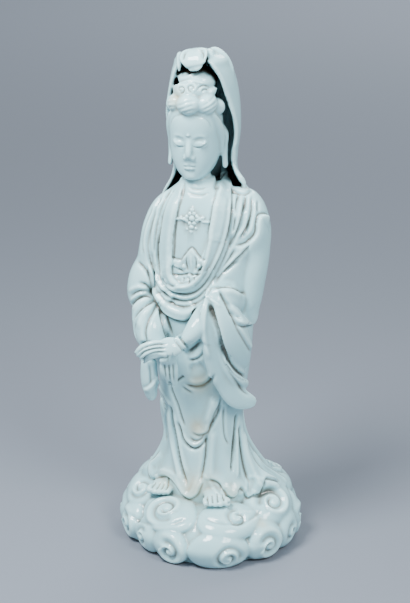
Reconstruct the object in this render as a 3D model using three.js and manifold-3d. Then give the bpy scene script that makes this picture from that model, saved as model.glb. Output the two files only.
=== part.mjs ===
// Standing Guanyin on a bank of clouds: one body of porcelain, modelled, luted and fired as a single piece.
// Millimetres, +Z up. The figure faces -Y, and the origin is the middle of the foot that it stands on.
import * as THREE from "three";
import { mergeVertices } from "three/addons/utils/BufferGeometryUtils.js";
import Module from "manifold-3d";

// Driving dimensions
const FIGURE_HEIGHT = 360; // from the top of the clouds to the crown of the hood
const BASE_HEIGHT = 40; // from the foot to the top of the clouds, where the hem rests
const BASE_WIDTH = 153; // across the bank of clouds
const HOOD_WALL = 3.4; // thickness of the cloth that stands free round the face
const FOOT_RIM = 9; // width of the bare ring under the base
const FOOT_RECESS = 4; // how far the underside is dished inside that ring
const VENT_BORE = 24; // round hole in the underside that lets kiln air out
const VENT_DEPTH = 22;
const BURIED = 3; // how far a luted-on form runs into what carries it

const GLAZE = new THREE.MeshStandardMaterial({ color: 0xbccfd0, roughness: 0.16, metalness: 0 });

// The figure is drawn on a canon of 360 parts to its height, with z counted from the top of the clouds. The hood and
// the head hang from the crown, and the body stands on the clouds.
const CANON = 360;
const PART = FIGURE_HEIGHT / CANON;
const UP = new THREE.Vector3(0, 0, 1);
const FRONT = new THREE.Vector3(0, -1, 0);
const SUNK = BURIED / PART;
const SOFT_END = -0.4; // squares the ends of a rounded limb: 0 would leave them as pointed as an egg

const wasm = await Module();
wasm.setup();

const point = (x, y, z) => new THREE.Vector3(x, y, z);
const radians = THREE.MathUtils.degToRad;
const bump = (x, middle, spread) => Math.exp(-(((x - middle) / spread) ** 2));

// Value number i of a table of rows [key, ...values], smooth between the rows.
function between(rows, key, i) {
  const above = rows.findIndex((row) => row[0] > key);
  const n = above < 0 ? rows.length - 2 : Math.max(0, above - 1);
  const [a, b] = [rows[n], rows[n + 1]];
  const t = THREE.MathUtils.clamp((key - a[0]) / (b[0] - a[0]), 0, 1);
  const before = rows[Math.max(0, n - 1)];
  const after = rows[Math.min(rows.length - 1, n + 2)];
  const slope = (p, q) => ((q[i] - p[i]) / (q[0] - p[0])) * (b[0] - a[0]);
  const [m0, m1] = [slope(before, b), slope(a, after)];
  return (
    (2 * t ** 3 - 3 * t ** 2 + 1) * a[i] +
    (t ** 3 - 2 * t ** 2 + t) * m0 +
    (3 * t ** 2 - 2 * t ** 3) * b[i] +
    (t ** 3 - t ** 2) * m1
  );
}

// Moves each vertex of a closed primitive to where place() puts it.
function reshape(geometry, place) {
  const position = geometry.attributes.position;
  for (let i = 0; i < position.count; i++) {
    const moved = place(point(0, 0, 0).fromBufferAttribute(position, i));
    position.setXYZ(i, moved.x, moved.y, moved.z);
  }
  return geometry;
}

// A closed upright form from its rings: ring(angle, share of the height, share of the radius) gives the point.
function upright(around, rings, ring) {
  return reshape(new THREE.CylinderGeometry(1, 1, 1, around, rings), (v) =>
    ring(Math.atan2(v.x, v.z), v.y + 0.5, Math.hypot(v.x, v.z)),
  );
}

// A rounded limb along a curve through points, with its half width at even steps. flat is its thickness over its width,
// and out is the direction of that thickness.
function limb(points, widths, { around = 8, along = 10, flat = 1, out = FRONT } = {}) {
  const curve = new THREE.CatmullRomCurve3(points);
  const rows = widths.map((width, i) => [i / Math.max(1, widths.length - 1), width]);
  return reshape(new THREE.SphereGeometry(1, around, along), (v) => {
    const t = (1 - v.y) / 2;
    const middle = curve.getPoint(t);
    const side = Math.hypot(v.x, v.z);
    if (side < 1e-6) return middle;
    const back = curve.getTangent(t).negate();
    const thick = (out.isVector3 ? out : out(t)).clone();
    thick.addScaledVector(back, -thick.dot(back)).normalize();
    const wide = back.clone().cross(thick);
    const reach = (widths.length > 1 ? between(rows, t, 1) : widths[0]) * side ** SOFT_END;
    return middle.addScaledVector(wide, reach * v.x).addScaledVector(thick, reach * v.z * flat);
  });
}

const ball = (middle, x, y, z, around = 8, along = 6) =>
  new THREE.SphereGeometry(1, around, along).rotateX(Math.PI / 2).scale(x, y, z).translate(middle.x, middle.y, middle.z);

// The robe's own outline: [z, middle x, middle y, half width, half depth].
const ROBE = [
  [-3, -3, 3, 50, 40],
  [8, -3, 2, 46, 36],
  [25, -4, 1, 40, 31],
  [45, -5, 0, 33, 28],
  [65, -6, 0, 33, 27],
  [90, -6, 0, 36, 28],
  [120, -7, -1, 41, 30],
  [145, -7, -2, 43, 31],
  [170, -6, -2, 44, 32],
  [200, -5, -2, 43, 31],
  [225, -5, -2, 41, 28],
  [240, -5, -3, 37, 25],
  [250, -5, -4, 27, 20],
  [262, -6, -5, 11, 12],
];

// The point of the robe at an angle from the front, positive towards the figure's left, and a height.
function onRobe(angle, z, proud = 0) {
  const a = radians(angle);
  return point(
    between(ROBE, z, 1) + (between(ROBE, z, 3) + proud) * Math.sin(a),
    between(ROBE, z, 2) - (between(ROBE, z, 4) + proud) * Math.cos(a),
    z,
  );
}

// A roll of cloth that lies on the robe, along a route of [angle, z] pairs.
function roll(route, widths, { proud = 0, flat = 0.6, ...shape } = {}) {
  const points = route.map(([angle, z]) => onRobe(angle, z, proud));
  const curve = new THREE.CatmullRomCurve3(points);
  const out = (t) => {
    const p = curve.getPoint(t);
    return point(p.x - between(ROBE, p.z, 1), p.y - between(ROBE, p.z, 2), 0);
  };
  return limb(points, widths, { flat, out, ...shape });
}

// The hem: [angle, z]. It lifts over each foot and waves where it lies on the clouds.
const HEM = [
  [-180, 6],
  [-160, 3],
  [-140, 9],
  [-118, 3],
  [-96, 7],
  [-74, 13],
  [-60, 14],
  [-44, 18],
  [-26, 16],
  [-14, 9],
  [-4, 4],
  [4, 8],
  [9, 16],
  [17, 21],
  [25, 18],
  [32, 11],
  [39, 7],
  [47, 13],
  [56, 7],
  [66, 6],
  [77, 17],
  [88, 10],
  [104, 3],
  [122, 10],
  [142, 3],
  [162, 9],
  [180, 6],
];

function robe() {
  const top = ROBE.at(-1)[0] - 2;
  return upright(40, 12, (a, t, radius) => {
    const angle = THREE.MathUtils.radToDeg(a);
    const low = radius > 0.5 ? between(HEM, angle, 1) : -SUNK;
    const z = low + (top - low) * t;
    const fall = THREE.MathUtils.clamp(1 - z / 110, 0, 1);
    const pleat = (1 - bump(angle, -5, 38)) * fall ** 1.5 * 3.5 * Math.cos(radians(9 * angle - 20));
    const trail = fall ** 4 * (24 * bump(angle, 103, 30) + 12 * bump(angle, -76, 20));
    const axis = point(between(ROBE, z, 1), between(ROBE, z, 2), z);
    return axis.lerp(onRobe(angle, z, pleat + trail), radius);
  });
}

// Front cloths between the waist and the feet: the apron with its turned edge, its swag and the long panels.
function apron() {
  return [
    roll([[2, 122], [3, 96], [7, 74], [12, 60]], [19, 19, 13, 5], { along: 6, around: 8, flat: 0.2 }),
    roll([[33, 96], [26, 79], [14, 61]], [2, 4, 3], { proud: 3, along: 5, around: 5 }),
    roll([[-25, 88], [-15, 57], [-3, 45], [8, 47], [17, 58]], [2, 4, 3.5, 3, 2], { proud: 1, along: 8, around: 5 }),
    roll([[-3, 60], [-3, 30], [-2, 2]], [8, 12, 11], { along: 5, around: 6, flat: 0.35 }),
    roll([[-36, 118], [-37, 90], [-34, 60], [-28, 28], [-20, 6]], [6, 7, 7, 8, 7], { along: 7, around: 6, flat: 0.5 }),
    roll([[32, 84], [31, 45], [33, 8]], [8, 12, 14], { along: 5, around: 6, flat: 0.3 }),
    roll([[66, 78], [62, 40], [66, 2]], [3, 4, 6], { along: 5, around: 5 }),
  ];
}

// One fold of the drape that hangs from both shoulders and meets in a U on the belly.
function drapeRoute(bottom, left, right, top = 247) {
  const bend = 26;
  const middle = -4;
  const lower = [-80, -50, -22, 6, 34, 58, 80].map((turn) => {
    const reach = turn < 0 ? middle - left : right - middle;
    return [middle + reach * Math.sin(radians(turn)), bottom + bend * (1 - Math.cos(radians(turn)))];
  });
  const side = (angle) => [angle, (bottom + bend + top) / 2];
  return [[left * 1.25, top], side(left), ...lower, side(right), [right * 1.25, top]];
}

function drape() {
  return [
    roll(drapeRoute(181, -23, 31), [6.5, 7, 4.5, 7, 6.5], { proud: 1.5, along: 15, around: 5, flat: 0.45 }),
    roll(drapeRoute(171, -37, 44), [5, 5.5, 4, 5.5, 5], { proud: 0.5, along: 13, around: 5, flat: 0.6 }),
    roll(drapeRoute(160, -50, 56), [5, 6, 6, 6, 5], { along: 12, around: 5, flat: 0.5 }),
  ];
}

// The fall of the veil down the back.
function veilBack() {
  const fall = [point(-6, 14, 250), point(-5, 19, 210), point(-5, 19, 160), point(-5, 17, 100), point(-5, 14, 62)];
  return [limb(fall, [22, 34, 36, 31, 26], { along: 7, around: 10, flat: 0.4 })];
}

// Arms in their sleeves: the upper arm from the neck to the elbow, the forearm to the wrist, and the falls of cloth.
function arms() {
  const left = [point(12, 1, 252), point(24, 5, 244), point(30, 5, 227), point(31, 3, 205), point(30, -2, 180), point(29, -4, 149)];
  const elbow = [point(11, -29, 184), point(18, -27, 177), point(24, -21, 169), point(29, -9, 162)];
  const forearm = [point(14, -22, 170), point(8, -37, 163), point(5, -47, 155), point(-1, -52, 143)];
  const backFall = [point(16, -33, 182), point(23, -32, 165), point(29, -26, 141), point(33, -14, 115)];
  const frontFall = [point(11, -37, 181), point(12, -42, 166), point(13, -40, 147), point(16, -36, 127), point(22, -28, 107), point(32, -16, 88)];
  const right = [point(-24, -7, 250), point(-31, -11, 239), point(-37, -13, 223), point(-41, -14, 202), point(-47, -15, 181), point(-44, -25, 154)];
  const rightForearm = [point(-48, -19, 166), point(-40, -30, 151), point(-34, -38, 138), point(-24, -44, 129)];
  const cuffFall = [point(-40, -28, 150), point(-38, -35, 125), point(-38, -36, 104), point(-36, -35, 87)];
  const out = point(0.77, -0.63, 0);
  return [
    limb(left, [8, 15, 16.5, 16, 16, 12], { along: 9 }),
    limb(elbow, [5, 10, 12.5, 9], { along: 5, flat: 0.8 }),
    limb(forearm, [8, 9, 8.6, 6.8], { along: 6 }),
    limb(backFall, [7, 11, 13.5, 10], { out, along: 7, flat: 0.6 }),
    limb(frontFall, [4, 5.6, 7.2, 9, 10.4, 9.5], { out, along: 9, flat: 0.38 }),
    limb(right, [7, 12, 13.5, 14, 15, 11], { along: 9 }),
    limb(rightForearm, [14, 13.5, 13, 8], { along: 6 }),
    limb(cuffFall, [8.5, 7, 7, 6.2], { along: 6, around: 6 }),
  ];
}

function hands() {
  const finger = (from, bend, to, width) => limb([from, bend, to], [width, width, width * 0.7], { around: 4, along: 4 });
  const left = Array.from({ length: 4 }, (_, i) =>
    finger(point(-20 - i, -57, 140 - 3.4 * i), point(-31, -60, 139 - 4.2 * i), point(-42 + 1.5 * i, -58, 133 - 4 * i), 2.5),
  );
  const right = Array.from({ length: 4 }, (_, i) =>
    finger(point(-30 + 4 * i, -42, 118), point(-29 + 4 * i, -44, 106), point(-27 + 3.6 * i, -42, 93 + i), 2.6),
  );
  return [
    limb([point(2, -50, 143), point(-12, -55, 140), point(-25, -57, 135)], [5.5, 8, 7], { flat: 0.55, along: 6, around: 6, out: UP }),
    limb([point(-29, -38, 128), point(-25, -42, 118), point(-23, -43, 108)], [6.5, 8, 7.5], { flat: 0.6, along: 5, around: 6 }),
    ...left,
    ...right,
  ];
}

// Feet that show under the hem, and the toes of each from the big one outwards: place over the half width of the foot,
// half its own width, and how far it leads.
const FEET = [
  { heel: point(4, -4, 8), toe: point(17, -35.5, 4.5), wide: 9.5, side: 1 },
  { heel: point(-31.5, -6, 8), toe: point(-32, -31, 4.5), wide: 8.8, side: -1 },
];
const TOES = [
  [-0.92, 2.7, 1],
  [-0.34, 2.1, 2.2],
  [0.12, 1.95, 1.8],
  [0.54, 1.8, 0.8],
  [0.92, 1.7, -0.8],
];

function feet() {
  return FEET.flatMap(({ heel, toe, wide, side }) => {
    const ahead = toe.clone().sub(heel).setZ(0).normalize();
    const across = ahead.clone().cross(UP).multiplyScalar(side);
    const toes = TOES.map(([place, size, lead]) => {
      const middle = toe.clone().addScaledVector(across, place * (wide - 1)).addScaledVector(ahead, 1 + lead);
      return ball(middle.setZ(toe.z - 0.5), size, size + 3, size, 4, 4);
    });
    const tip = toe.clone().addScaledVector(ahead, 5);
    return [limb([heel, toe, tip], [8, wide + 0.5, wide], { flat: 0.56, out: UP, along: 6, around: 8 }), ...toes];
  });
}

// The bare chest with its pendant, the knotted girdle under it, and the neck.
function chest() {
  const pendant = onRobe(1, 235, 0.5);
  const drops = [-1, 0, 1].map((side) => ball(onRobe(1 + 13 * side, 235 - 7 * (1 - Math.abs(side)), 0.3), 2.6, 2, 2.6, 4, 3));
  return [
    limb([point(-6, -4, 236), point(-7, -6, 255), point(-9, -6, CANON - 84)], [12, 11, 12], { along: 5 }),
    ball(pendant, 5.6, 2.6, 5.2, 6, 4),
    ...drops,
    roll([[-3, 192], [-3, 200], [-3, 209]], [5, 4.5], { around: 5, along: 4, flat: 0.5 }),
    roll([[-15, 202], [0, 200], [14, 203]], [2.2, 2.4, 2.2], { around: 4, along: 5 }),
  ];
}

// The head has a frame of its own: x to the figure's left, y to the back, z up, about the middle of the skull.
const HEAD = { middle: point(-9, -6, CANON - 69), nod: 7, turn: 5 };
const skull = (x, y, z) => point(x, y, z);

function inHead(geometry) {
  return geometry.rotateX(radians(HEAD.nod)).rotateZ(radians(HEAD.turn)).translate(HEAD.middle.x, HEAD.middle.y, HEAD.middle.z);
}

function head() {
  const face = [
    ball(skull(0, 0, 4), 19.5, 22.5, 24, 12, 8),
    ball(skull(0, -3, -9), 16.5, 18.5, 18.5, 10, 7),
    limb([skull(0, -21.5, 3), skull(0, -23.5, -4), skull(0, -22.5, -8)], [1.8, 2.2, 3.2], { around: 4, along: 4 }),
    ball(skull(0, -20, -14.5), 4.2, 2.4, 1.9, 5, 3),
    ball(skull(0, -17.5, -22), 5, 4, 4, 5, 3),
    ...[-1, 1].map((side) => ball(skull(side * 7.8, -18.6, 0.5), 4.6, 2.8, 2.6, 5, 3)),
    ...[-1, 1].map((side) => {
      const ear = [skull(side * 20, 4, 12), skull(side * 22, 5, 3), skull(side * 21, 2.5, -12), skull(side * 20.5, 0, -22)];
      return limb(ear, [3.6, 5.2, 3.4, 4.2], { around: 5, along: 5, flat: 0.6, out: point(side, -0.5, 0) });
    }),
  ];
  const lumps = [-88, -46, -4, 38, 80].map((turn) => {
    const a = radians(turn);
    const middle = skull(16.4 * Math.sin(a), 2.5 - 19.4 * Math.cos(a), 30 + 3 * Math.cos(a));
    const along = skull(8.4 * Math.cos(a), 8.4 * Math.sin(a), 2.2);
    return limb([middle.clone().sub(along), middle, middle.clone().add(along)], [5.6, 8, 6], { around: 6, along: 4, flat: 0.8, out: UP });
  });
  const hair = [
    ball(skull(0, 2.8, 13), 21, 22.4, 26, 10, 7),
    ...lumps,
    limb([skull(0, 4, 26), skull(0.5, 2, 42), skull(2, 0, 56)], [14, 15, 12], { around: 8, along: 5 }),
  ];
  const band = [-76, -40, 0, 40, 76].map((turn) => {
    const a = radians(turn);
    return skull(15.6 * Math.sin(a), 1.5 - 16.8 * Math.cos(a), 42 + 1.6 * Math.cos(a));
  });
  const crown = limb(band, [1.6, 4.6, 6.8, 4.6, 1.6], { around: 6, along: 9, flat: 0.42, out: (t) => skull(3 * (t - 0.5), -1, 0.15) });
  const scrolls = [-34, -8, 20].map((turn) => {
    const a = radians(turn);
    return ball(skull(17 * Math.sin(a), 1.5 - 18.6 * Math.cos(a), 43.5), 3.8, 2.2, 4.2, 5, 3);
  });
  return [...face, ...hair, crown, ...scrolls].map(inHead);
}

// The hood's outside: [height from the crown, middle x, middle y, half width, half depth, half angle of the opening].
const HOOD = [
  [-130, -3, 4, 46, 27, 102],
  [-114, -4, 4, 38, 26, 95],
  [-103, -5, 4, 30, 26, 90],
  [-92, -6, 4, 25.5, 27, 84],
  [-80, -6, 4, 25.5, 29, 77],
  [-64, -6.5, 4, 28, 31, 76],
  [-49, -7, 4, 28.5, 31, 68],
  [-35, -6.5, 3, 27, 30, 58],
  [-22, -6, 1, 24.5, 28, 50],
  [-12, -6, -1, 21.5, 24, 42],
  [-5, -6, -3, 17.5, 19, 32],
  [0, -6.5, -4, 5, 6, 22],
].map(([down, ...rest]) => [CANON + down, ...rest]);

function hood() {
  const wall = HOOD_WALL / PART;
  const low = HOOD[0][0];
  const high = HOOD.at(-1)[0];
  const outline = (a, z, inside, opening) => {
    const angle = THREE.MathUtils.radToDeg(a);
    const open = opening && Math.abs(angle) < between(HOOD, z, 5);
    const [wide, deep] = open ? [70, 70] : [between(HOOD, z, 3) - inside, between(HOOD, z, 4) - inside];
    return point(between(HOOD, z, 1) + wide * Math.sin(a), between(HOOD, z, 2) - deep * Math.cos(a), z);
  };
  const column = (around, rings, bottom, top, inside, opening) =>
    upright(around, rings, (a, t, radius) => {
      const z = bottom + (top - bottom) * t;
      const middle = point(between(HOOD, z, 1), between(HOOD, z, 2), z);
      return middle.lerp(outline(a, z, inside, opening), radius);
    });
  const shell = solid(column(18, 10, low, high, 0, false)).subtract(solid(column(18, 8, low - 20, high - 4 * wall, wall, true)));
  const fromCrown = (x, y, down) => point(x, y, high + down);
  const lappet = limb([fromCrown(-9, -10, -2), fromCrown(-7, -18, -2), fromCrown(-5, -24, -7), fromCrown(-5, -26, -14)], [10, 11, 10, 6], {
    flat: 0.26,
    around: 6,
    along: 7,
    out: (t) => point(0, -0.3 - t, 1.2 - t),
  });
  const tucks = [
    limb([fromCrown(-20, -9, -4), fromCrown(-18, -17, -6), fromCrown(-17, -22, -15)], [3, 3, 2], { around: 5, along: 5 }),
    limb([fromCrown(0, -3, -3), fromCrown(3, -12, -5), fromCrown(10, -13, -17)], [4.6, 4.2, 2.4], { around: 5, along: 5 }),
  ];
  return shell.add(joined([lappet, ...tucks]));
}

// A closed geometry as a solid that can be joined and cut.
function solid(geometry) {
  geometry.deleteAttribute("normal");
  geometry.deleteAttribute("uv");
  const merged = mergeVertices(geometry, 1e-4);
  return new wasm.Manifold(
    new wasm.Mesh({
      numProp: 3,
      vertProperties: merged.attributes.position.array,
      triVerts: new Uint32Array(merged.index.array),
    }),
  );
}

const joined = (geometries) => geometries.map(solid).reduce((all, next) => all.add(next));

// The bank of clouds is two tiers of lobes. A place on it is an angle from the front and a share of the way up from the
// foot; its section at a share is [share, radius over half the width, height over the base's].
const BANK = [
  [0, 0.8, 0],
  [0.2, 0.84, 0.18],
  [0.4, 0.87, 0.42],
  [0.6, 0.8, 0.7],
  [0.8, 0.63, 0.9],
  [1, 0.4, 0.97],
];
const SWELL = 0.12; // how far a lobe stands out, over half the width of the base
const PLUMP = 0.36; // 0.5 makes each lobe a plain dome, and less flattens it like a cake
const SIDE_RISE = 0.27; // how far the bank rises at the sides and the back, over the base's height
const lobe = (share, tall) => ([angle, half]) => ({ angle, half, share, tall });
const LOWER = [
  [-101, 14],
  [-78, 14],
  [-57, 13],
  [-34, 13],
  [-10, 15],
  [26, 22],
  [61, 15],
  [84, 13],
  [104, 13],
  [127, 15],
  [154, 15],
  [181, 16],
  [208, 15],
  [234, 15],
].map(lobe(0.29, 0.34));
const UPPER = [
  [-115, 24],
  [-72, 22],
  [-22, 30],
  [36, 27],
  [83, 24],
  [130, 26],
  [180, 26],
].map(lobe(0.76, 0.28));

function onBank(angle, share, proud = 0) {
  const swell = Math.max(
    0,
    ...[...LOWER, ...UPPER].map((one) => {
      const across = (((angle - one.angle + 540) % 360) - 180) / one.half;
      return Math.max(0, 1 - across ** 2 - ((share - one.share) / one.tall) ** 2) ** PLUMP;
    }),
  );
  const out = proud + (SWELL * swell * BASE_WIDTH) / 2;
  const slope = radians(90 * share ** 1.5);
  const radius = (between(BANK, share, 1) * BASE_WIDTH) / 2 + out * Math.cos(slope);
  const turned = Math.abs(((angle + 535) % 360) - 180);
  const rise = SIDE_RISE * THREE.MathUtils.smoothstep(turned, 45, 115) * bump(share, 0.75, 0.28);
  const a = radians(angle);
  const z = (between(BANK, share, 2) + rise) * BASE_HEIGHT + 0.55 * out * Math.sin(slope);
  return point(radius * Math.sin(a), -radius * Math.cos(a), z);
}

const FINER_AHEAD = 0.35; // draws the facets of the bank together towards the front

// The scroll on a lobe: a ridge that winds out from the eye. hand is 1 or -1 for the way that it winds.
function scroll({ angle, half, share, tall }, hand) {
  const steps = 9;
  const route = Array.from({ length: steps }, (_, i) => {
    const turn = (2.6 * Math.PI * i) / (steps - 1);
    const reach = 0.14 + (0.5 * i) / (steps - 1);
    return onBank(angle + hand * half * reach * Math.cos(turn), share + tall * reach * Math.sin(turn), 0.5);
  });
  const a = radians(angle);
  const out = point(Math.sin(a), -Math.cos(a), share);
  return limb(route, [0.055, 0.05, 0.045, 0.04].map((share) => share * BASE_HEIGHT), { around: 3, along: 9, out });
}

function clouds() {
  const bank = upright(62, 8, (turn, t, radius) => {
    const a = turn - FINER_AHEAD * Math.sin(turn);
    const rim = onBank(THREE.MathUtils.radToDeg(a), t);
    return point(0, 0, rim.z).lerp(rim, radius);
  });
  const scrolls = [...LOWER.slice(4, 7), ...UPPER.slice(2, 4)].map((one, i) => scroll(one, i % 2 ? 1 : -1));
  const foot = (BASE_WIDTH / 2) * BANK[0][1] - FOOT_RIM;
  const recess = new THREE.CylinderGeometry(foot, foot, 2 * FOOT_RECESS, 24).rotateX(Math.PI / 2);
  const vent = new THREE.CylinderGeometry(VENT_BORE / 2, VENT_BORE / 2, 2 * VENT_DEPTH, 16).rotateX(Math.PI / 2);
  return joined([bank, ...scrolls]).subtract(solid(recess)).subtract(solid(vent));
}

// Everything of the figure, set on the clouds at its real size.
function figure() {
  const forms = [robe(), ...apron(), ...drape(), ...veilBack(), ...arms(), ...hands(), ...feet(), ...chest(), ...head()];
  return joined(forms).add(hood()).scale([PART, PART, PART]).translate([0, 0, BASE_HEIGHT]);
}

function toMesh(made, name, material) {
  const { vertProperties, triVerts, numProp } = made.getMesh();
  const geometry = new THREE.BufferGeometry();
  geometry.setAttribute("position", new THREE.BufferAttribute(new Float32Array(vertProperties), numProp));
  geometry.setIndex(new THREE.BufferAttribute(new Uint32Array(triVerts), 1));
  geometry.computeVertexNormals();
  const mesh = new THREE.Mesh(geometry, material);
  mesh.name = name;
  return mesh;
}

const guanyin = clouds().add(figure());

const part = new THREE.Group();
part.add(toMesh(guanyin, "guanyin_figure", GLAZE));
export default part;
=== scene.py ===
# A standing Guanyin on a bank of clouds, in porcelain under a pale blue-green glaze.
# The figure is modelled the way that a modeller works in clay: plain closed lumps are set over one another,
# joined into one skin, softened, and then cut and pressed with strokes before the glaze goes on.
# Lengths are in millimetres while the clay is worked, and the finished piece is in metres.
# +Z is up and -Y is the front.
import math

import bmesh
import bpy
import numpy as np
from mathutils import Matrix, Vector
from mathutils.bvhtree import BVHTree
from mathutils.kdtree import KDTree


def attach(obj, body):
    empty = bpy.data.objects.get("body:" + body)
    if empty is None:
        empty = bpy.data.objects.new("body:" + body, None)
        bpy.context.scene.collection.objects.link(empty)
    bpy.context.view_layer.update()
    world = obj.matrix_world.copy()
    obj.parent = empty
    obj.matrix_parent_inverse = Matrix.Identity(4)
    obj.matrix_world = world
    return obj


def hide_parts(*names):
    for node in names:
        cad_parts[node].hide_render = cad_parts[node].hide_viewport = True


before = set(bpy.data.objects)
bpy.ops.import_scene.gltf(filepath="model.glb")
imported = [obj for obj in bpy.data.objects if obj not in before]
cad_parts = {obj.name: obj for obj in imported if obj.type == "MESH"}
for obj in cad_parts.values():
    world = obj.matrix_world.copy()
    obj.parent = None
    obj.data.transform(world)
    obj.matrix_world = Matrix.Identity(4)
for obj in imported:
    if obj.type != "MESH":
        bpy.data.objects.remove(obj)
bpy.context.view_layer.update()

MM = 0.001
BASE_HEIGHT = 40.0  # from the floor to the top of the clouds
BASE_WIDTH = 153.0
HOOD_WALL = 3.4
GRAIN = 0.8  # size of the cells in which the lumps are joined
MOST_TRIANGLES = 194000  # what the finished piece is thinned to

FRONT = np.array([0.0, -1.0, 0.0])
UP = np.array([0.0, 0.0, 1.0])
SOFT_END = -0.4  # squares the ends of a limb a little: 0 would leave them as pointed as an egg
LOOK_ALONG = 0.02  # share of a limb's length over which its direction is taken
TINY = 1e-6

# The photograph's camera, as worked out from the foot, the height and the hood.
PHOTO_SIZE = (410, 603)
SIGHT_TURN = math.radians(20)
SIGHT_RISE = math.radians(18)
SIGHT_FAR = 1200.0
SIGHT_HEIGHT = 200.0  # of the place that the camera looks at
SIGHT_SHIFT = -4.0  # of that place, to the camera's right
SIGHT_PIXELS = 1516.0  # the lens's length in pixels

RIGHTWARD = np.array([math.cos(SIGHT_TURN), math.sin(SIGHT_TURN), 0.0])
NEARWARD = np.array([math.sin(SIGHT_TURN), -math.cos(SIGHT_TURN), 0.0])
BACKWARD = NEARWARD * math.cos(SIGHT_RISE) + UP * math.sin(SIGHT_RISE)
UPWARD = np.cross(BACKWARD, RIGHTWARD)
EYE = UP * SIGHT_HEIGHT + RIGHTWARD * SIGHT_SHIFT + BACKWARD * SIGHT_FAR


def ray(px, py):
    """The direction from the camera through a pixel."""
    across = (px - PHOTO_SIZE[0] / 2) / SIGHT_PIXELS
    rise = (PHOTO_SIZE[1] / 2 - py) / SIGHT_PIXELS
    way = RIGHTWARD * across + UPWARD * rise - BACKWARD
    return way / np.linalg.norm(way)


def seen(px, py, near):
    """The place shown at a pixel, near mm in front of the upright plane through the middle."""
    way = ray(px, py)
    return EYE + way * ((near - EYE @ NEARWARD) / (way @ NEARWARD))


def at_level(px, py, z):
    """The place that the photograph shows at a pixel, z mm above the floor."""
    way = ray(px, py)
    return EYE + way * ((z - EYE[2]) / way[2])


def hit(tree, px, py):
    """What the photograph's camera meets at a pixel: its place and its outward direction come first."""
    return tree.ray_cast(Vector(EYE), Vector(ray(px, py)))


def bump(x, middle, spread):
    """A soft hill, 1 high at its middle."""
    return np.exp(-(((x - middle) / spread) ** 2))


def smooth(x):
    """A ramp from 0 to 1 that starts and stops softly."""
    x = np.clip(x, 0, 1)
    return x * x * (3 - 2 * x)


def between(rows, key):
    """The values of a table [key, ...values] at each key, smooth between its rows."""
    rows = np.asarray(rows, float)
    x, y = rows[:, 0], rows[:, 1:]
    slope = np.gradient(y, x, axis=0)
    i = np.clip(np.searchsorted(x, key) - 1, 0, len(x) - 2)
    span = (x[i + 1] - x[i])[..., None]
    t = np.clip((key - x[i]) / (x[i + 1] - x[i]), 0, 1)[..., None]
    return (
        (2 * t**3 - 3 * t**2 + 1) * y[i]
        + (t**3 - 2 * t**2 + t) * span * slope[i]
        + (3 * t**2 - 2 * t**3) * y[i + 1]
        + (t**3 - t**2) * span * slope[i + 1]
    )


# Clay

clay = bmesh.new()


def add_to_clay(form):
    """Puts a closed form with the rest of the clay."""
    bmesh.ops.recalc_face_normals(form, faces=form.faces)
    carrier = bpy.data.meshes.new("carrier")
    form.to_mesh(carrier)
    form.free()
    clay.from_mesh(carrier)
    bpy.data.meshes.remove(carrier)


def lump(place, around=24, along=20):
    """A closed form: a ball whose points place() moves. place gets unit vectors and returns millimetres."""
    form = bmesh.new()
    made = bmesh.ops.create_grid(form, x_segments=around, y_segments=along, size=1)["verts"]
    flat = np.array([v.co[:] for v in made])
    turn, drop = flat[:, 0] * math.pi, (1 - flat[:, 1]) * math.pi / 2
    v = np.column_stack([np.sin(drop) * np.cos(turn), np.sin(drop) * np.sin(turn), np.cos(drop)])
    for vert, co in zip(made, place(v)):
        vert.co = co
    bmesh.ops.remove_doubles(form, verts=form.verts, dist=1e-4)
    add_to_clay(form)


def unit(v):
    return v / np.maximum(np.linalg.norm(v, axis=-1, keepdims=True), 1e-9)


def by_length(points):
    """A table of points at their share of the way along the line through them."""
    points = np.asarray(points, float)
    way = np.concatenate([[0], np.cumsum(np.linalg.norm(np.diff(points, axis=0), axis=1))])
    return np.column_stack([way / way[-1], points])


def limb(points, widths, flat=1.0, out=FRONT, around=20, along=24, square=1.0):
    """A rounded limb through points, with its half width at each. flat is its thickness over its width, and
    out is the direction of that thickness, or one direction for each point. square below 1 makes its section
    less round."""
    path = by_length(points)
    girth = np.column_stack([path[:, 0], np.broadcast_to(widths, len(points))])
    outs = np.column_stack([path[:, 0], np.broadcast_to(out, (len(points), 3))])

    def place(v):
        t = (1 - v[:, 2]) / 2
        middle = between(path, t)
        before, after = np.maximum(t - LOOK_ALONG, 0), np.minimum(t + LOOK_ALONG, 1)
        back = unit(between(path, before) - between(path, after))
        thick = between(outs, t)
        thick = unit(thick - back * np.sum(thick * back, axis=1, keepdims=True))
        wide = np.cross(thick, back)
        side = np.hypot(v[:, 0], v[:, 1])
        over = np.maximum(side, TINY)
        reach = between(girth, t)[:, 0] * over**SOFT_END
        round_x, round_y = (np.sign(v[:, i]) * side * (np.abs(v[:, i]) / over) ** square for i in (0, 1))
        return middle + wide * (reach * round_x)[:, None] + thick * (reach * flat * round_y)[:, None]

    lump(place, around, along)


def photo_limb(points, *shape, **more):
    """A limb through points of the photograph: pixel, millimetres towards the camera, and half width."""
    limb([seen(*p[:3]) for p in points], [p[3] for p in points], *shape, **more)


def column(around, along, ring, cap=0.06):
    """A closed upright form. ring() gives its points by angle and by shares of the height and radius."""

    def place(v):
        drop = np.arccos(np.clip(v[:, 2], -1, 1)) / math.pi
        radius = np.clip(np.minimum(drop, 1 - drop) / cap, 0, 1)
        t = np.clip((1 - drop - cap) / (1 - 2 * cap), 0, 1)
        return ring(np.degrees(np.arctan2(v[:, 0], -v[:, 1])), t, radius)

    lump(place, around, along)


def around_axis(angle, wide, deep, x, y, z):
    """Points on level ovals: angle from the front, half sizes, middle and height."""
    a = np.radians(angle)
    return np.stack([x + wide * np.sin(a), y - deep * np.cos(a), z + 0 * a], axis=-1)


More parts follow.
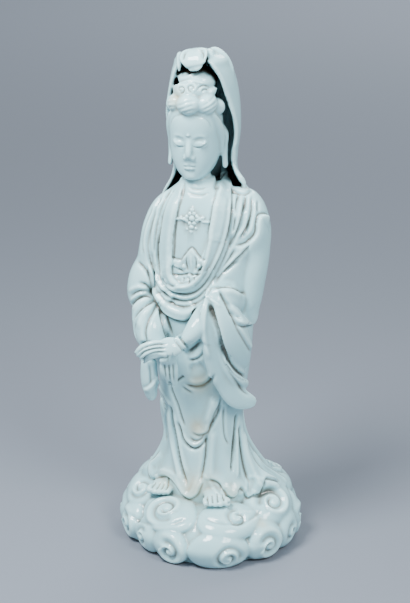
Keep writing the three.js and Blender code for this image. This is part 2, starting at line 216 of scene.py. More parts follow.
# The robe: height, middle x and y, half width, half depth.
ROBE = [
    [36, -3, 3, 50, 40],
    [48, -3, 2, 46, 36],
    [65, -2.5, 1, 38.5, 31],
    [85, -3.5, 0, 32.5, 28],
    [105, -6.5, 0, 34, 27],
    [130, -6, 0, 36, 28],
    [160, -7, -1, 41, 30],
    [185, -7, -2, 43, 31],
    [210, -6, -2, 44, 32],
    [240, -5, -2, 43, 31],
    [265, -5, -2, 41, 28],
    [280, -5, -3, 37, 25],
    [290, -5, -4, 27, 20],
    [302, -6, -5, 11, 12],
]


def on_robe(angle, z, proud):
    """Points proud mm off the even robe."""
    x, y, wide, deep = between(ROBE, z).T
    return around_axis(angle, wide + proud, deep + proud, x, y, z)


# Angle from the front, towards the figure's left, and the height of the hem there.
HEM = [
    [-180, 46], [-160, 43], [-140, 49], [-118, 43], [-96, 47], [-85, 50], [-74, 53], [-60, 54], [-44, 58],
    [-26, 56], [-14, 49], [-4, 44], [4, 48], [9, 56], [17, 61], [25, 58], [32, 51], [39, 47], [47, 53],
    [56, 47], [66, 46], [77, 57], [88, 50], [104, 43], [122, 50], [142, 43], [162, 49], [180, 46],
]
HEM_TUCK = 6.0  # the robe runs on into the clouds by this much
HEM_TURN = 4.0  # and its edge is turned in by this much
FLARE = 110.0  # pleats and trains start this far above the clouds
PLEATS = 9
PLEAT_DEPTH = 3.5
PLAIN_FRONT = (-5, 45)  # angle and spread of the front, which has no pleats
TRAINS = [(103, 30, 24), (-76, 20, 12)]  # where the robe trails on the clouds: angle, spread and reach


def robe():
    floor = BASE_HEIGHT - HEM_TUCK

    def ring(angle, t, radius):
        edge = between(HEM, angle)[:, 0]
        turned_in = np.where(radius > 0.9, np.maximum(edge - HEM_TURN, floor), floor)
        low = np.where(radius > 0.96, edge, turned_in)
        z = low + (ROBE[-1][0] - low) * t
        fall = np.clip(1 - (z - BASE_HEIGHT) / FLARE, 0, 1)
        wave = PLEAT_DEPTH * np.cos(np.radians(PLEATS * angle - 20))
        pleat = (1 - bump(angle, *PLAIN_FRONT)) * fall**1.5 * wave
        trail = fall**4 * sum(reach * bump(angle, middle, spread) for middle, spread, reach in TRAINS)
        axis = np.column_stack([between(ROBE, z)[:, :2], z])
        return axis + (on_robe(angle, z, pleat + trail) - axis) * radius[:, None]

    column(240, 150, ring)


# Arms, sleeves and hands: pixels of the photograph, the millimetres towards the camera, and the half width.
LEFT_UPPER_ARM = [
    (226, 189, 3, 7), (244.5, 202, 4, 15), (250, 222, 6, 16.5), (249.5, 250, 8, 16), (246, 280, 12, 16),
    (245.5, 303, 14, 15), (246, 322, 14, 12),
]
LEFT_ELBOW_CLOTH = [(211, 284, 31, 5), (220, 293, 32, 10), (230, 301, 28, 12.5), (241, 306, 18, 9)]
LEFT_FOREARM = [(217, 304, 24, 8), (206, 316, 35, 9), (195, 330, 44, 8.2), (183, 344, 49, 6.8)]
RIGHT_UPPER_ARM = [
    (178, 188, -2, 7), (167, 204, 0, 12), (160, 225, 0, 13.5), (156.5, 246, -1, 13.5),
    (153.5, 261, -2, 13.4), (146, 279, -1, 15), (142.5, 298, 2, 14.5), (146, 313, 8, 11),
]
RIGHT_FOREARM = [(145, 295, 2, 14), (149, 318, 14, 13.5), (153, 338, 24, 13), (162, 352, 33, 8)]
FRONT_SLEEVE_FALL = [
    (209, 288, 33, 4), (206, 310, 43, 5.8), (208.5, 335, 44, 7.6), (214, 358, 40.5, 9), (224, 380, 34, 10),
    (239, 398, 28, 11.4), (256, 403, 22, 9.5),
]
MIDDLE_SLEEVE_FALL = [
    (215, 322, 35, 4), (221, 345, 37, 6), (230, 364, 34, 8), (239, 378, 28, 8), (247, 386, 21, 6),
]
BACK_SLEEVE_FALL = [(214, 289, 35, 7), (223, 311, 38, 11.5), (234, 339, 35, 13.5), (244.5, 367, 25, 10)]
RIGHT_CUFF_FALL = [(151, 345, 20, 8.5), (149, 362, 21, 6.8), (149.5, 380, 21, 7), (152, 400, 20, 6.2)]
LEFT_PALM = [(184, 345, 49, 6.6), (175, 346.5, 51, 7.8), (163, 348.5, 52, 7.6), (154, 350, 51, 4.8)]
# The fingers' half widths are the same for each finger of a hand.
LEFT_FINGER_WIDTHS = [2.7, 2.5, 2.3, 1.5]
RIGHT_FINGER_WIDTHS = [2.6, 2.3, 1.4]
LEFT_FINGERS = {
    "index": [(164, 342, 52), (152, 343.5, 53), (142, 347, 52), (134, 353.5, 48)],
    "middle": [(164, 346, 53), (151, 347.5, 54), (142, 351, 53), (136.5, 357, 49)],
    "ring": [(164, 350, 53), (152, 351.5, 54), (144, 355, 53), (139.5, 360.5, 49)],
    "little": [(165, 354, 52), (155, 355.5, 52.5), (148, 358.5, 51), (143, 364, 48)],
}
RIGHT_PALM = [(161, 345, 36, 6.5), (167, 356, 38.5, 7.5), (169, 366, 38, 7)]
RIGHT_FINGERS = {
    "index": [(162, 361, 37), (162.5, 371, 38.5), (164, 381, 36)],
    "middle": [(166.5, 362, 38), (167, 374, 39.5), (168, 385, 36)],
    "ring": [(171, 362, 38.5), (171.6, 375, 39.5), (172.4, 388, 36)],
    "little": [(175, 360, 37.5), (175.6, 373, 38.5), (176, 386, 36)],
}


def arms():
    photo_limb(LEFT_UPPER_ARM, around=36, along=48)
    photo_limb(LEFT_ELBOW_CLOTH, 0.8, NEARWARD, 36, 36)
    photo_limb(LEFT_FOREARM, around=32, along=36)
    photo_limb(RIGHT_UPPER_ARM, around=36, along=48)
    photo_limb(RIGHT_FOREARM, around=32, along=32)


def sleeves():
    side = unit(NEARWARD * 0.8 + RIGHTWARD * 0.6)
    photo_limb(BACK_SLEEVE_FALL, 0.6, side, 36, 40, square=0.8)
    photo_limb(MIDDLE_SLEEVE_FALL, 0.7, side, 28, 40)
    photo_limb(FRONT_SLEEVE_FALL, 0.38, side, 36, 56, square=0.8)
    photo_limb(RIGHT_CUFF_FALL, 1.0, NEARWARD, 28, 32)


def hands():
    photo_limb(LEFT_PALM, 0.52, unit(NEARWARD + UP * 0.5), 32, 32)
    for path in LEFT_FINGERS.values():
        limb([seen(*p) for p in path], LEFT_FINGER_WIDTHS, around=16, along=28)
    photo_limb(RIGHT_PALM, 0.6, NEARWARD, 24, 20)
    for path in RIGHT_FINGERS.values():
        limb([seen(*p) for p in path], RIGHT_FINGER_WIDTHS, around=16, along=24)


# Each foot: the pixels of its heel and of the middle of its toes, their height, and its half width.
FEET = {
    "left": {"heel": (211, 480), "toes": (216, 501), "height": 45, "wide": 10.4},
    "right": {"heel": (176, 474), "toes": (161, 489), "height": 45, "wide": 9.6},
}
# Each toe from the big one outwards: place over the half width, half its own width, and how far it leads.
TOES = [(-0.86, 3.0, 1.2), (-0.3, 2.4, 2.2), (0.16, 2.2, 1.8), (0.58, 2.1, 0.8), (0.96, 1.9, -0.8)]
SOLE_RISE = (8, 5.5, 1.5, -0.5)  # over the line of the foot: at the heel, the middle, the toes and past them
SOLE_PAST = 7.0  # how far the sole runs on past the middle of the toes
HEEL_WIDTHS = (8, 8.6)
TOE_REACH = 7.5  # from the middle of the toes to the tip of a toe that doesn't lead
TOE_DROP = 0.6
TOE_INSET = 1.0
# Along a toe: how far behind its tip, how far above it, and width over the toe's own.
TOE_JOINTS = [(9, 2.4, 1), (3, 1.6, 1.15), (0, 0, 1.1)]


def foot_frame(side):
    """A foot's heel, the middle of its toes, the directions ahead and outwards, and its half width."""
    foot = FEET[side]
    heel, toe = (at_level(*foot[end], foot["height"]) for end in ("heel", "toes"))
    ahead = unit(toe - heel)
    across = np.cross(ahead, UP) * (1 if side == "left" else -1)
    return heel, toe, ahead, across, foot["wide"]


def feet():
    for side in FEET:
        heel, toe, ahead, across, wide = foot_frame(side)
        line = (heel, (heel + toe) / 2, toe, toe + ahead * SOLE_PAST)
        sole = [spot + UP * rise for spot, rise in zip(line, SOLE_RISE)]
        limb(sole, [*HEEL_WIDTHS, wide, wide], 0.5, UP, 36, 36)
        for place, size, lead in TOES:
            tip = toe + across * place * (wide - TOE_INSET) + ahead * (TOE_REACH + lead) - UP * TOE_DROP
            joints = [tip - ahead * back + UP * rise for back, rise, _ in TOE_JOINTS]
            limb(joints, [size * share for *_, share in TOE_JOINTS], around=20, along=24)


NECK = [(-6, -4, 274), (-7, -6, 295), (-9, -6, 316)]
NECK_WIDTHS = [12, 10.6, 11]


def neck():
    limb(NECK, NECK_WIDTHS, around=32, along=24)


# The collar's band, laid on the clay beneath, from the figure's left round the chest to its right.
# Pixels of the photograph, and behind the neck the millimetres towards the camera too.
COLLAR = {
    "from the neck": [(222, 166, -24), (225, 174, -12), (225.5, 184, 2), (225, 195, 13)],
    "round the chest": [
        (223, 205), (221, 222), (217, 240), (210, 258), (202, 273), (191, 284), (178, 286), (169, 276),
        (166, 260), (166, 243), (168, 225), (172, 207),
    ],
    "to the neck": [(177, 193, 10), (180, 185, 4), (182, 176, -6)],
}
COLLAR_LIFT = 0.6
COLLAR_AXIS = (-5, 50, 0)  # behind the neck, the band faces away from this upright line
COLLAR_WIDTHS = [6.6, 6.6, 6.6, 6.8, 6.8, 6.8, 6.6, 6.2, 5.6, 4.6, 4.6, 5.2, 5.8, 6.2, 6.2, 6, 5.4, 4.8, 4]


def laid_on(path, lift):
    """Places and outward directions for a path. Pixels alone are dropped onto the clay."""
    tree = BVHTree.FromBMesh(clay)
    spots, outs = [], []
    for p in path:
        if len(p) == 3:
            spots.append(seen(*p))
            outs.append(unit(spots[-1] * (1, 1, 0) - COLLAR_AXIS))
        else:
            spot, out, *_ = hit(tree, *p)
            out = np.array(out)
            spots.append(np.array(spot) + out * lift)
            outs.append(out)
    return np.array(spots), np.array(outs)


def collar():
    spots, outs = laid_on(sum(COLLAR.values(), []), COLLAR_LIFT)
    limb(spots, COLLAR_WIDTHS, 0.4, outs, 32, 140, square=0.5)


# The head has its own frame: x to the figure's left, y to the back, z up, about the middle of the skull.
HEAD_MIDDLE = np.array([-9.0, -6.0, 331.0])
HEAD_NOD = math.radians(7)
HEAD_TURN = math.radians(5)

# Height, half width, front and back. The hairline is at 26, and the brow, the foot of the nose and the chin
# lie in even thirds below it.
HEAD = [
    [-27.5, 4.0, -15.0, -8.0],
    [-26.5, 8.0, -18.4, -5.0],
    [-24.0, 11.4, -20.8, 0.0],
    [-20.0, 14.6, -21.9, 5.0],
    [-15.0, 17.0, -22.2, 10.0],
    [-9.0, 18.6, -22.2, 15.0],
    [-2.0, 19.2, -21.8, 19.0],
    [6.0, 19.2, -21.6, 21.5],
    [14.0, 19.2, -22.0, 23.0],
    [22.0, 18.4, -21.0, 23.5],
    [30.0, 16.4, -17.5, 22.0],
    [37.0, 12.0, -11.0, 17.0],
    [41.0, 4.0, -3.0, 8.0],
]
BROW = 8.7
EYES = 3.6
NOSE_BASE = -8.7
MOUTH = -14.2
EYE_MIDDLE = 7.8
EYE_HALF = 4.6
SKULL_AXIS = -2.0  # y of the line that the front and the back of the skull are rounded about
TEMPLE, CHEEK = 0.9, 0.85  # below 1, these square the skull's sides and its front

# Lumps of the face: middle, half sizes across, deep and tall, and steps round and along the ball.
PAIRED_LUMPS = {
    "eyeball": ((EYE_MIDDLE, -17.8, EYES - 0.2), (EYE_HALF + 1.3, 3.9, 3.7), (28, 20)),
    "wing of the nose": ((2.6, -22.6, NOSE_BASE + 1.4), (2.2, 2.2, 1.9), (20, 16)),
}
MIDDLE_LUMPS = {
    "under the nose": ((0, -20.8, NOSE_BASE - 1.6), (3.6, 2.6, 3.2), (24, 16)),
    "lips": ((0, -20.3, MOUTH), (6.2, 2.6, 4.2), (28, 20)),
    "chin": ((0, -18.4, -22.0), (6.4, 3.8, 4.4), (24, 20)),
}
NOSE = [(0, -20.4, BROW - 1), (0, -22.4, EYES - 2), (0, -23.8, -2), (0, -24.8, NOSE_BASE + 1.8)]
NOSE_WIDTHS = [2.2, 2.3, 2.6, 3.1]
EAR = [(19.4, 4, 12), (20.8, 5, 5), (20.9, 4, -5), (21.4, 2, -14), (22, 0, -22)]
EAR_WIDTHS = [3.6, 5.4, 4.4, 3.4, 4.8]

# Hair: the cap and the foot of the bun are balls like those of the face, and the rest are limbs.
HAIR_CAP = ((0, 3, 14), (20.6, 22.2, 26.6), (48, 36))
BUN_FOOT = ((0, 3, 33), (16, 17.5, 12), (36, 24))
BUN = [(1.5, 2, 40), (2.5, 1, 48), (3, 0, 57)]
BUN_WIDTHS = [14.5, 15, 12]
SIDE_LOCK = [(17, -11, 24), (19.6, -6, 14), (20.4, -2, 2), (20, -1, -9)]
SIDE_LOCK_WIDTHS = [3.2, 4.0, 3.4, 2.0]
# The roll of hair over the brow, each lump lying a little aslant: angle from the front, half length and size.
HAIR_LUMPS = [(-88, 6.4, 0.9), (-46, 6.6, 0.88), (-1, 9.0, 1.06), (45, 8.8, 1.06), (81, 6.6, 0.96)]
HAIR_LUMP_WIDTHS = [6.4, 8.2, 6.8]
ROLL_WIDE, ROLL_DEEP = 16.0, 19.4
ROLL_MIDDLE = 2.5
ROLL_HEIGHT = 33.0
ROLL_DROP = 3.0  # the roll comes down this much towards the sides, and its lumps past SIDE_LUMPS once more
SIDE_LUMPS = 60

# The crown: a band that swells and thins, one leaf, and a row of beads. Angle from the front, out and up.
CROWN_WIDE, CROWN_DEEP, CROWN_MIDDLE = 15.6, 16.8, 1.5
CROWN_HEIGHT = 40.4
CROWN_WIDTHS = [2.4, 3.6, 4.6, 5.6, 6.4, 6.2, 5.4, 4.4, 3.2, 1.6]
CROWN_LEAF = [(50, 1, 39), (64, 2, 40.5), (78, 3.4, 43)]
CROWN_LEAF_WIDTHS = [3.4, 3.0, 1.2]
CROWN_BEADS = (-62, -46, -30, -14, 2, 18, 36, 54)
BEAD = 1.5
BEAD_OUT, BEAD_HEIGHT = 2.2, 35.6


def spun(x, y, angle):
    """x and y turned about the origin."""
    return x * math.cos(angle) - y * math.sin(angle), x * math.sin(angle) + y * math.cos(angle)


def from_head(p):
    """Points of the head's own frame, in the figure's."""
    p = np.asarray(p, float)
    x, y, z = p[..., 0], p[..., 1], p[..., 2]
    y, z = spun(y, z, HEAD_NOD)
    x, y = spun(x, y, HEAD_TURN)
    return HEAD_MIDDLE + np.stack([x, y, z], axis=-1)


def head_ball(middle, sizes, steps):
    lump(lambda v: from_head(np.asarray(middle) + v * sizes), *steps)


def head_limb(points, widths, flat=1.0, out=FRONT, around=16, along=20):
    limb(from_head(points), widths, flat, from_head(out) - HEAD_MIDDLE, around, along)


def on_side(points, side):
    """Points of the figure's left where side is 1, and the same mirrored where it is -1."""
    return [(side * x, y, z) for x, y, z in points]


def skull():
    def ring(angle, t, radius):
        z = HEAD[0][0] + (HEAD[-1][0] - HEAD[0][0]) * (1 - np.cos(math.pi * t)) / 2
        wide, front, back = between(HEAD, z).T
        sine, cosine = np.sin(np.radians(angle)), np.cos(np.radians(angle))
        x = wide * np.sign(sine) * np.abs(sine) ** TEMPLE
        ahead, behind = (front - SKULL_AXIS) * np.abs(cosine) ** CHEEK, (back - SKULL_AXIS) * np.abs(cosine)
        y = np.where(cosine > 0, ahead, behind)
        return from_head(np.column_stack([x * radius, SKULL_AXIS + y * radius, z]))

    column(72, 64, ring)


def face():
    for side in (-1, 1):
        for middle, sizes, steps in PAIRED_LUMPS.values():
            head_ball(*on_side([middle], side), sizes, steps)
    head_limb(NOSE, NOSE_WIDTHS, 0.9, around=24, along=28)
    for middle, sizes, steps in MIDDLE_LUMPS.values():
        head_ball(middle, sizes, steps)


def ears():
    for side in (-1, 1):
        head_limb(on_side(EAR, side), EAR_WIDTHS, 0.62, (side, -0.55, 0), 24, 36)


def hair():
    head_ball(*HAIR_CAP)
    for side in (-1, 1):
        head_limb(on_side(SIDE_LOCK, side), SIDE_LOCK_WIDTHS, 0.5, (side, -0.7, 0), 24, 28)
    for turn, half, size in HAIR_LUMPS:
        sine, cosine = math.sin(math.radians(turn)), math.cos(math.radians(turn))
        along = np.array([cosine, sine, 0]) * half + UP
        height = ROLL_HEIGHT - ROLL_DROP * (1 - cosine) - (ROLL_DROP if abs(turn) > SIDE_LUMPS else 0)
        middle = np.array([ROLL_WIDE * sine, ROLL_MIDDLE - ROLL_DEEP * cosine, height])
        widths = [width * size for width in HAIR_LUMP_WIDTHS]
        head_limb([middle - along, middle - along * 0.1, middle + along], widths, 0.95, UP, 36, 32)
    head_ball(*BUN_FOOT)
    head_limb(BUN, BUN_WIDTHS, around=40, along=32)


def round_crown(turn, out, z):
    a = math.radians(turn)
    return ((CROWN_WIDE + out) * math.sin(a), CROWN_MIDDLE - (CROWN_DEEP + out) * math.cos(a), z)


def crown():
    turns = np.linspace(-84, 78, len(CROWN_WIDTHS))
    band = [round_crown(turn, 0, CROWN_HEIGHT + 2 * math.cos(math.radians(turn))) for turn in turns]
    head_limb(band, CROWN_WIDTHS, 0.5, (0, -1, 0.15), 28, 72)
    head_limb([round_crown(*row) for row in CROWN_LEAF], CROWN_LEAF_WIDTHS, 0.6, (0.6, -0.7, 0), 20, 24)
    for turn in CROWN_BEADS:
        head_ball(round_crown(turn, BEAD_OUT, BEAD_HEIGHT), (BEAD, BEAD, BEAD), (12, 10))


# The hood: height, middle x and y, half width, half depth, half angle of the opening.
HOOD = [
    [96, -5, 2, 30, 27, 140],
    [130, -5, 2, 35, 29, 132],
    [170, -5.5, 2, 40.5, 30, 128],
    [210, -6, 2, 43, 30, 124],
    [245, -4, 3, 47, 29, 116],
    [270, -3, 4, 46, 27, 102],
    [286, -4, 4, 38, 26, 95],
    [297, -5, 4, 30, 26, 90],
    [308, -6, 4, 25.5, 27, 84],
    [320, -6, 4, 25.5, 29, 77],
    [336, -6.5, 4, 28, 31, 76],
    [351, -7, 4, 28.5, 31, 68],
    [365, -6.5, 3, 27, 30, 58],
    [378, -6, 1, 24.5, 28, 50],
    [388, -6, -1, 21.5, 24, 42],
    [395, -6, -3, 17.5, 19, 32],
    [400, -6.5, -4, 5, 6, 22],
]
HOOD_TURN = 9.0  # the hood is turned, so that it opens further on the figure's left
HOOD_TURN_IN = (280, 24)  # height and span over which that turn comes in
HOOD_TURN_OUT = (398, 20)  # and height and span over which it goes again, near the top
HOOD_PLEATS = 9
HOOD_FOLDS = [(HOOD_PLEATS, 1.6), (14, 0.8)]  # folds behind: how many round the body, and how deep
HOOD_FOLDS_FROM = (300, 120)  # height where they start, and span over which they deepen
HOOD_SCALLOP = 8.0  # how far the lower edge rises and falls
HOOD_TOP = ((-6.5, -4, 394), (12, 13, 5))  # closes the top: middle and half sizes
# Cloth that hangs and tucks at its edge, in the same form as the arms.
LAPPET = [
    (194, 50, 4, 9), (194, 52, 13, 10.4), (193.5, 57, 19, 11), (193, 64, 22, 10), (192.5, 72, 22, 6.5),
]
LEFT_TUCK = [(180, 53, 0, 2.6), (180, 57, 9, 2.8), (179.5, 64, 14, 2.4), (179, 72, 15, 1.6)]
RIGHT_TUCK = [(211, 52, 0, 4.2), (209, 55, 9, 4.4), (212, 64, 14, 3.2), (217.5, 74, 15, 2.0)]
HOOD_PEAK = [(208, 57, 6, 2.6), (213, 51, 2, 4), (221, 56, 2, 4.4), (228, 67, 3, 4.2), (232, 84, 4, 3)]
HOOD_CORNER = [(233, 160, 4, 1.2), (236, 170, 7, 2.2), (241, 178, 10, 3.4), (246, 186, 11, 3.8)]


def hood():
    cloth = bmesh.new()
    made = bmesh.ops.create_grid(cloth, x_segments=160, y_segments=150, size=1)["verts"]
    flat = np.array([v.co[:] for v in made])
    share = (flat[:, 1] + 1) / 2
    z = HOOD[0][0] + (HOOD[-1][0] - HOOD[0][0]) * (1 - (1 - share) ** 1.4)
    x, y, wide, deep, opening = between(HOOD, z).T
    turned = smooth((z - HOOD_TURN_IN[0]) / HOOD_TURN_IN[1])
    turned = turned * smooth((HOOD_TURN_OUT[0] - z) / HOOD_TURN_OUT[1])
    opening = opening + np.where(flat[:, 0] < 0, HOOD_TURN, 0) * turned
    angle = 180 + flat[:, 0] * (180 - opening)
    behind = np.cos(np.radians((angle - 180) / 2)) ** 2
    waves = sum(size * np.cos(np.radians(count * (angle - 180))) for count, size in HOOD_FOLDS)
    fold = behind * smooth((HOOD_FOLDS_FROM[0] - z) / HOOD_FOLDS_FROM[1]) * waves
    z = z - (1 - share) ** 6 * HOOD_SCALLOP * np.cos(np.radians(HOOD_PLEATS * (angle - 180)))
    for vert, co in zip(made, around_axis(angle, wide + fold, deep + fold, x, y, z)):
        vert.co = co
    bmesh.ops.recalc_face_normals(cloth, faces=cloth.faces)
    bmesh.ops.solidify(cloth, geom=cloth.faces[:], thickness=HOOD_WALL)
    add_to_clay(cloth)
    middle, sizes = HOOD_TOP
    lump(lambda v: np.asarray(middle) + v * sizes, 20, 16)
    outs = [(0, -0.2, 1), (0, -0.5, 0.8), (0, -1, 0.5), (0, -1, 0.2), (0, -1, 0)]
    photo_limb(LAPPET, 0.24, outs, 36, 36, square=0.7)
    photo_limb(LEFT_TUCK, 1, FRONT, 20, 20)
    photo_limb(RIGHT_TUCK, 1, FRONT, 20, 28)
    photo_limb(HOOD_PEAK, 0.8, NEARWARD, 28, 36)
    photo_limb(HOOD_CORNER, 0.42, unit(NEARWARD + RIGHTWARD * 0.7 + UP * 0.3), 24, 28)


# The bank of clouds: share of the way up from the foot, radius over half the width, height over the base's.
BANK = [
    [0, 0.8, 0],
    [0.2, 0.84, 0.18],
    [0.4, 0.87, 0.42],
    [0.6, 0.8, 0.7],
    [0.8, 0.63, 0.9],
    [1, 0.4, 0.97],
]
SWELL = 0.12  # how far a lobe stands out, over half the width
PLUMP = 0.36  # 0.5 makes each lobe a plain dome, and less flattens it like a cake
# Each lobe: angle, half its width in degrees, share of the way up, half its height as a share.
LOWER_LOBES = [
    (-101, 14, 0.3, 0.33), (-78, 14, 0.3, 0.33), (-57, 13, 0.3, 0.34), (-34, 13, 0.29, 0.34),
    (-10, 15, 0.29, 0.34), (26, 22, 0.29, 0.35), (61, 15, 0.31, 0.34), (84, 13, 0.31, 0.33),
    (104, 13, 0.29, 0.35), (127, 15, 0.29, 0.33), (154, 15, 0.29, 0.32), (181, 16, 0.29, 0.34),
    (208, 15, 0.29, 0.33), (234, 15, 0.29, 0.32),
]
UPPER_LOBES = [
    (-115, 24, 0.76, 0.28), (-72, 22, 0.78, 0.28), (-22, 30, 0.75, 0.27), (36, 27, 0.75, 0.27),
    (83, 24, 0.77, 0.29), (130, 26, 0.76, 0.28), (180, 26, 0.76, 0.28),
]
SIDE_RISE = 11.0  # the upper lobes lie this much higher at the sides and behind
SIDE_SPREAD = 3.0  # and this much further out
TOP_RISE = 0.55  # share of a lobe's swell that goes upwards on the top
# The bank is no true round: angle from the front, and its radius over the even one.
PLAN = [
    [-180, 1], [-120, 1], [-90, 1.03], [-66, 0.98], [-44, 0.92], [-22, 0.93], [2, 0.98], [26, 1.01],
    [55, 0.99], [90, 1.01], [120, 1], [180, 1],
]
FOOT_RIM = 9.0  # width of the ring that it stands on
FOOT_RECESS = 4.0
VENT_RADIUS = 12.0
VENT_DEPTH = 22.0


def on_bank(angle, share):
    """Points of the clouds by angle from the front and share of the way up."""
    swell = np.zeros_like(angle)
    for middle, half, middle_share, tall in LOWER_LOBES + UPPER_LOBES:
        across = ((angle - middle + 180) % 360 - 180) / half
        swell = np.maximum(swell, 1 - across**2 - ((share - middle_share) / tall) ** 2)
    out = SWELL * swell**PLUMP * BASE_WIDTH / 2
    slope = np.radians(90 * share**1.5)
    radius, height = between(BANK, share).T
    turned = np.abs((angle - 5 + 180) % 360 - 180)
    upper_side = smooth((turned - 45) / 70) * bump(share, 0.75, 0.28)
    plan = between(PLAN, (angle + 180) % 360 - 180)[:, 0]
    radius = radius * plan * BASE_WIDTH / 2 + out * np.cos(slope) + SIDE_SPREAD * upper_side
    a = np.radians(angle)
    z = height * BASE_HEIGHT + TOP_RISE * out * np.sin(slope) + SIDE_RISE * upper_side
    return np.stack([radius * np.sin(a), -radius * np.cos(a), z], axis=-1)


def clouds():
    def ring(angle, t, radius):
        rim = on_bank(angle, t)
        top = rim * np.stack([radius, radius, np.ones_like(radius)], axis=-1)
        reach = np.hypot(rim[:, 0], rim[:, 1])
        # The underside walks from the middle of the vent over the recess to the foot ring.
        walk = np.array([0, 0.12, 0.35, 0.8, 0.88, 1])
        middle, bore = np.zeros_like(reach), np.full_like(reach, VENT_RADIUS)
        stops = [middle, bore, bore, reach - FOOT_RIM, reach - FOOT_RIM, reach]
        inner = np.clip(np.stack(stops, 1), 0, None)
        rise = np.array([VENT_DEPTH, VENT_DEPTH, FOOT_RECESS, FOOT_RECESS, 0, 0])
        i = np.clip(np.searchsorted(walk, radius) - 1, 0, 4)
        part = (radius - walk[i]) / (walk[i + 1] - walk[i])
        row = np.arange(len(reach))
        way = inner[row, i] * (1 - part) + inner[row, i + 1] * part
        under = rim * np.stack([way / reach, way / reach, 0 * reach], axis=-1)
        under[:, 2] = rise[i] * (1 - part) + rise[i + 1] * part
        return np.where((t == 0)[:, None] & (radius < 1)[:, None], under, top)

    column(240, 160, ring, 0.2)


for form in (robe, arms, sleeves, neck, collar, hands, feet, skull, face, ears, hair, crown, hood, clouds):
    form()
bmesh.ops.recalc_face_normals(clay, faces=clay.faces)


def mesh_from(bm, name):
    mesh = bpy.data.meshes.new(name)
    bm.to_mesh(mesh)
    bm.free()
    made = bpy.data.objects.new(name, mesh)
    bpy.context.scene.collection.objects.link(made)
    return made


def apply_modifiers(piece):
    graph = bpy.context.evaluated_depsgraph_get()
    done = bpy.data.meshes.new_from_object(piece.evaluated_get(graph))
    piece.modifiers.clear()
    old = piece.data
    piece.data = done
    bpy.data.meshes.remove(old)


figure = mesh_from(clay, "guanyin_porcelain")
joining = figure.modifiers.new("joining", "REMESH")
joining.mode = "VOXEL"
joining.voxel_size = GRAIN
apply_modifiers(figure)


def places(mesh):
    co = np.empty(len(mesh.vertices) * 3)
    mesh.vertices.foreach_get("co", co)
    return co.reshape(-1, 3)


def neighbours(mesh):
    """The two ends of each edge, and how many edges meet at each point."""
    ends = np.empty(len(mesh.edges) * 2, dtype=np.int64)
    mesh.edges.foreach_get("vertices", ends)
    a, b = ends.reshape(-1, 2).T
    count = len(mesh.vertices)
    return a, b, np.bincount(a, minlength=count) + np.bincount(b, minlength=count)


def sum_around(values, a, b):
    """The sum of the values at each point's neighbours."""
    return np.bincount(a, values[b], len(values)) + np.bincount(b, values[a], len(values))


def soften(mesh, rounds, strength):
    """Draws each point towards its neighbours, as clay and glaze round off an edge. strength may differ
    from point to point."""
    strength = np.broadcast_to(strength, len(mesh.vertices))[:, None]
    co = places(mesh)
    a, b, count = neighbours(mesh)
    for _ in range(rounds):
        total = np.column_stack([sum_around(co[:, axis], a, b) for axis in range(3)])
        co += strength * (total / np.maximum(count, 1)[:, None] - co)
    mesh.vertices.foreach_set("co", co.ravel())
    mesh.update()


def tree_of(spots):
    """A tree that finds the nearest of some points, by their order."""
    tree = KDTree(len(spots))
    for i, spot in enumerate(spots):
        tree.insert(spot, i)
    tree.balance()
    return tree


EVENLY = 0.5  # the usual strength of softening
soften(figure.data, 4, EVENLY)


# Strokes
# Each line is drawn through pixels of the photograph and dropped onto the clay, and a tool is drawn along it.

EASE = 7.0  # a stroke eases in and out over this length
MOST_EASE = 0.35  # but over no more than this share of its line
FEWEST_SPOTS = 3  # a line that lands on the clay in fewer places isn't drawn
PAST_ENDS = 1.2  # and it fades out over this length past its ends
FACING_FROM, FACING_SPAN = 0.05, 0.3  # it bites where the skin faces the tool
PAIRS_AT_ONCE = 4000000  # distances worked out together, to spare memory
# Lines that don't come from the photograph start this far outside the body or the head, and fall inwards.
OUTSIDE_BODY = 120.0
OUTSIDE_HEAD = 30.0
BEFORE_FACE = 50.0
BODY_AXIS = (-5, 0)  # x and y of the upright line that they fall towards


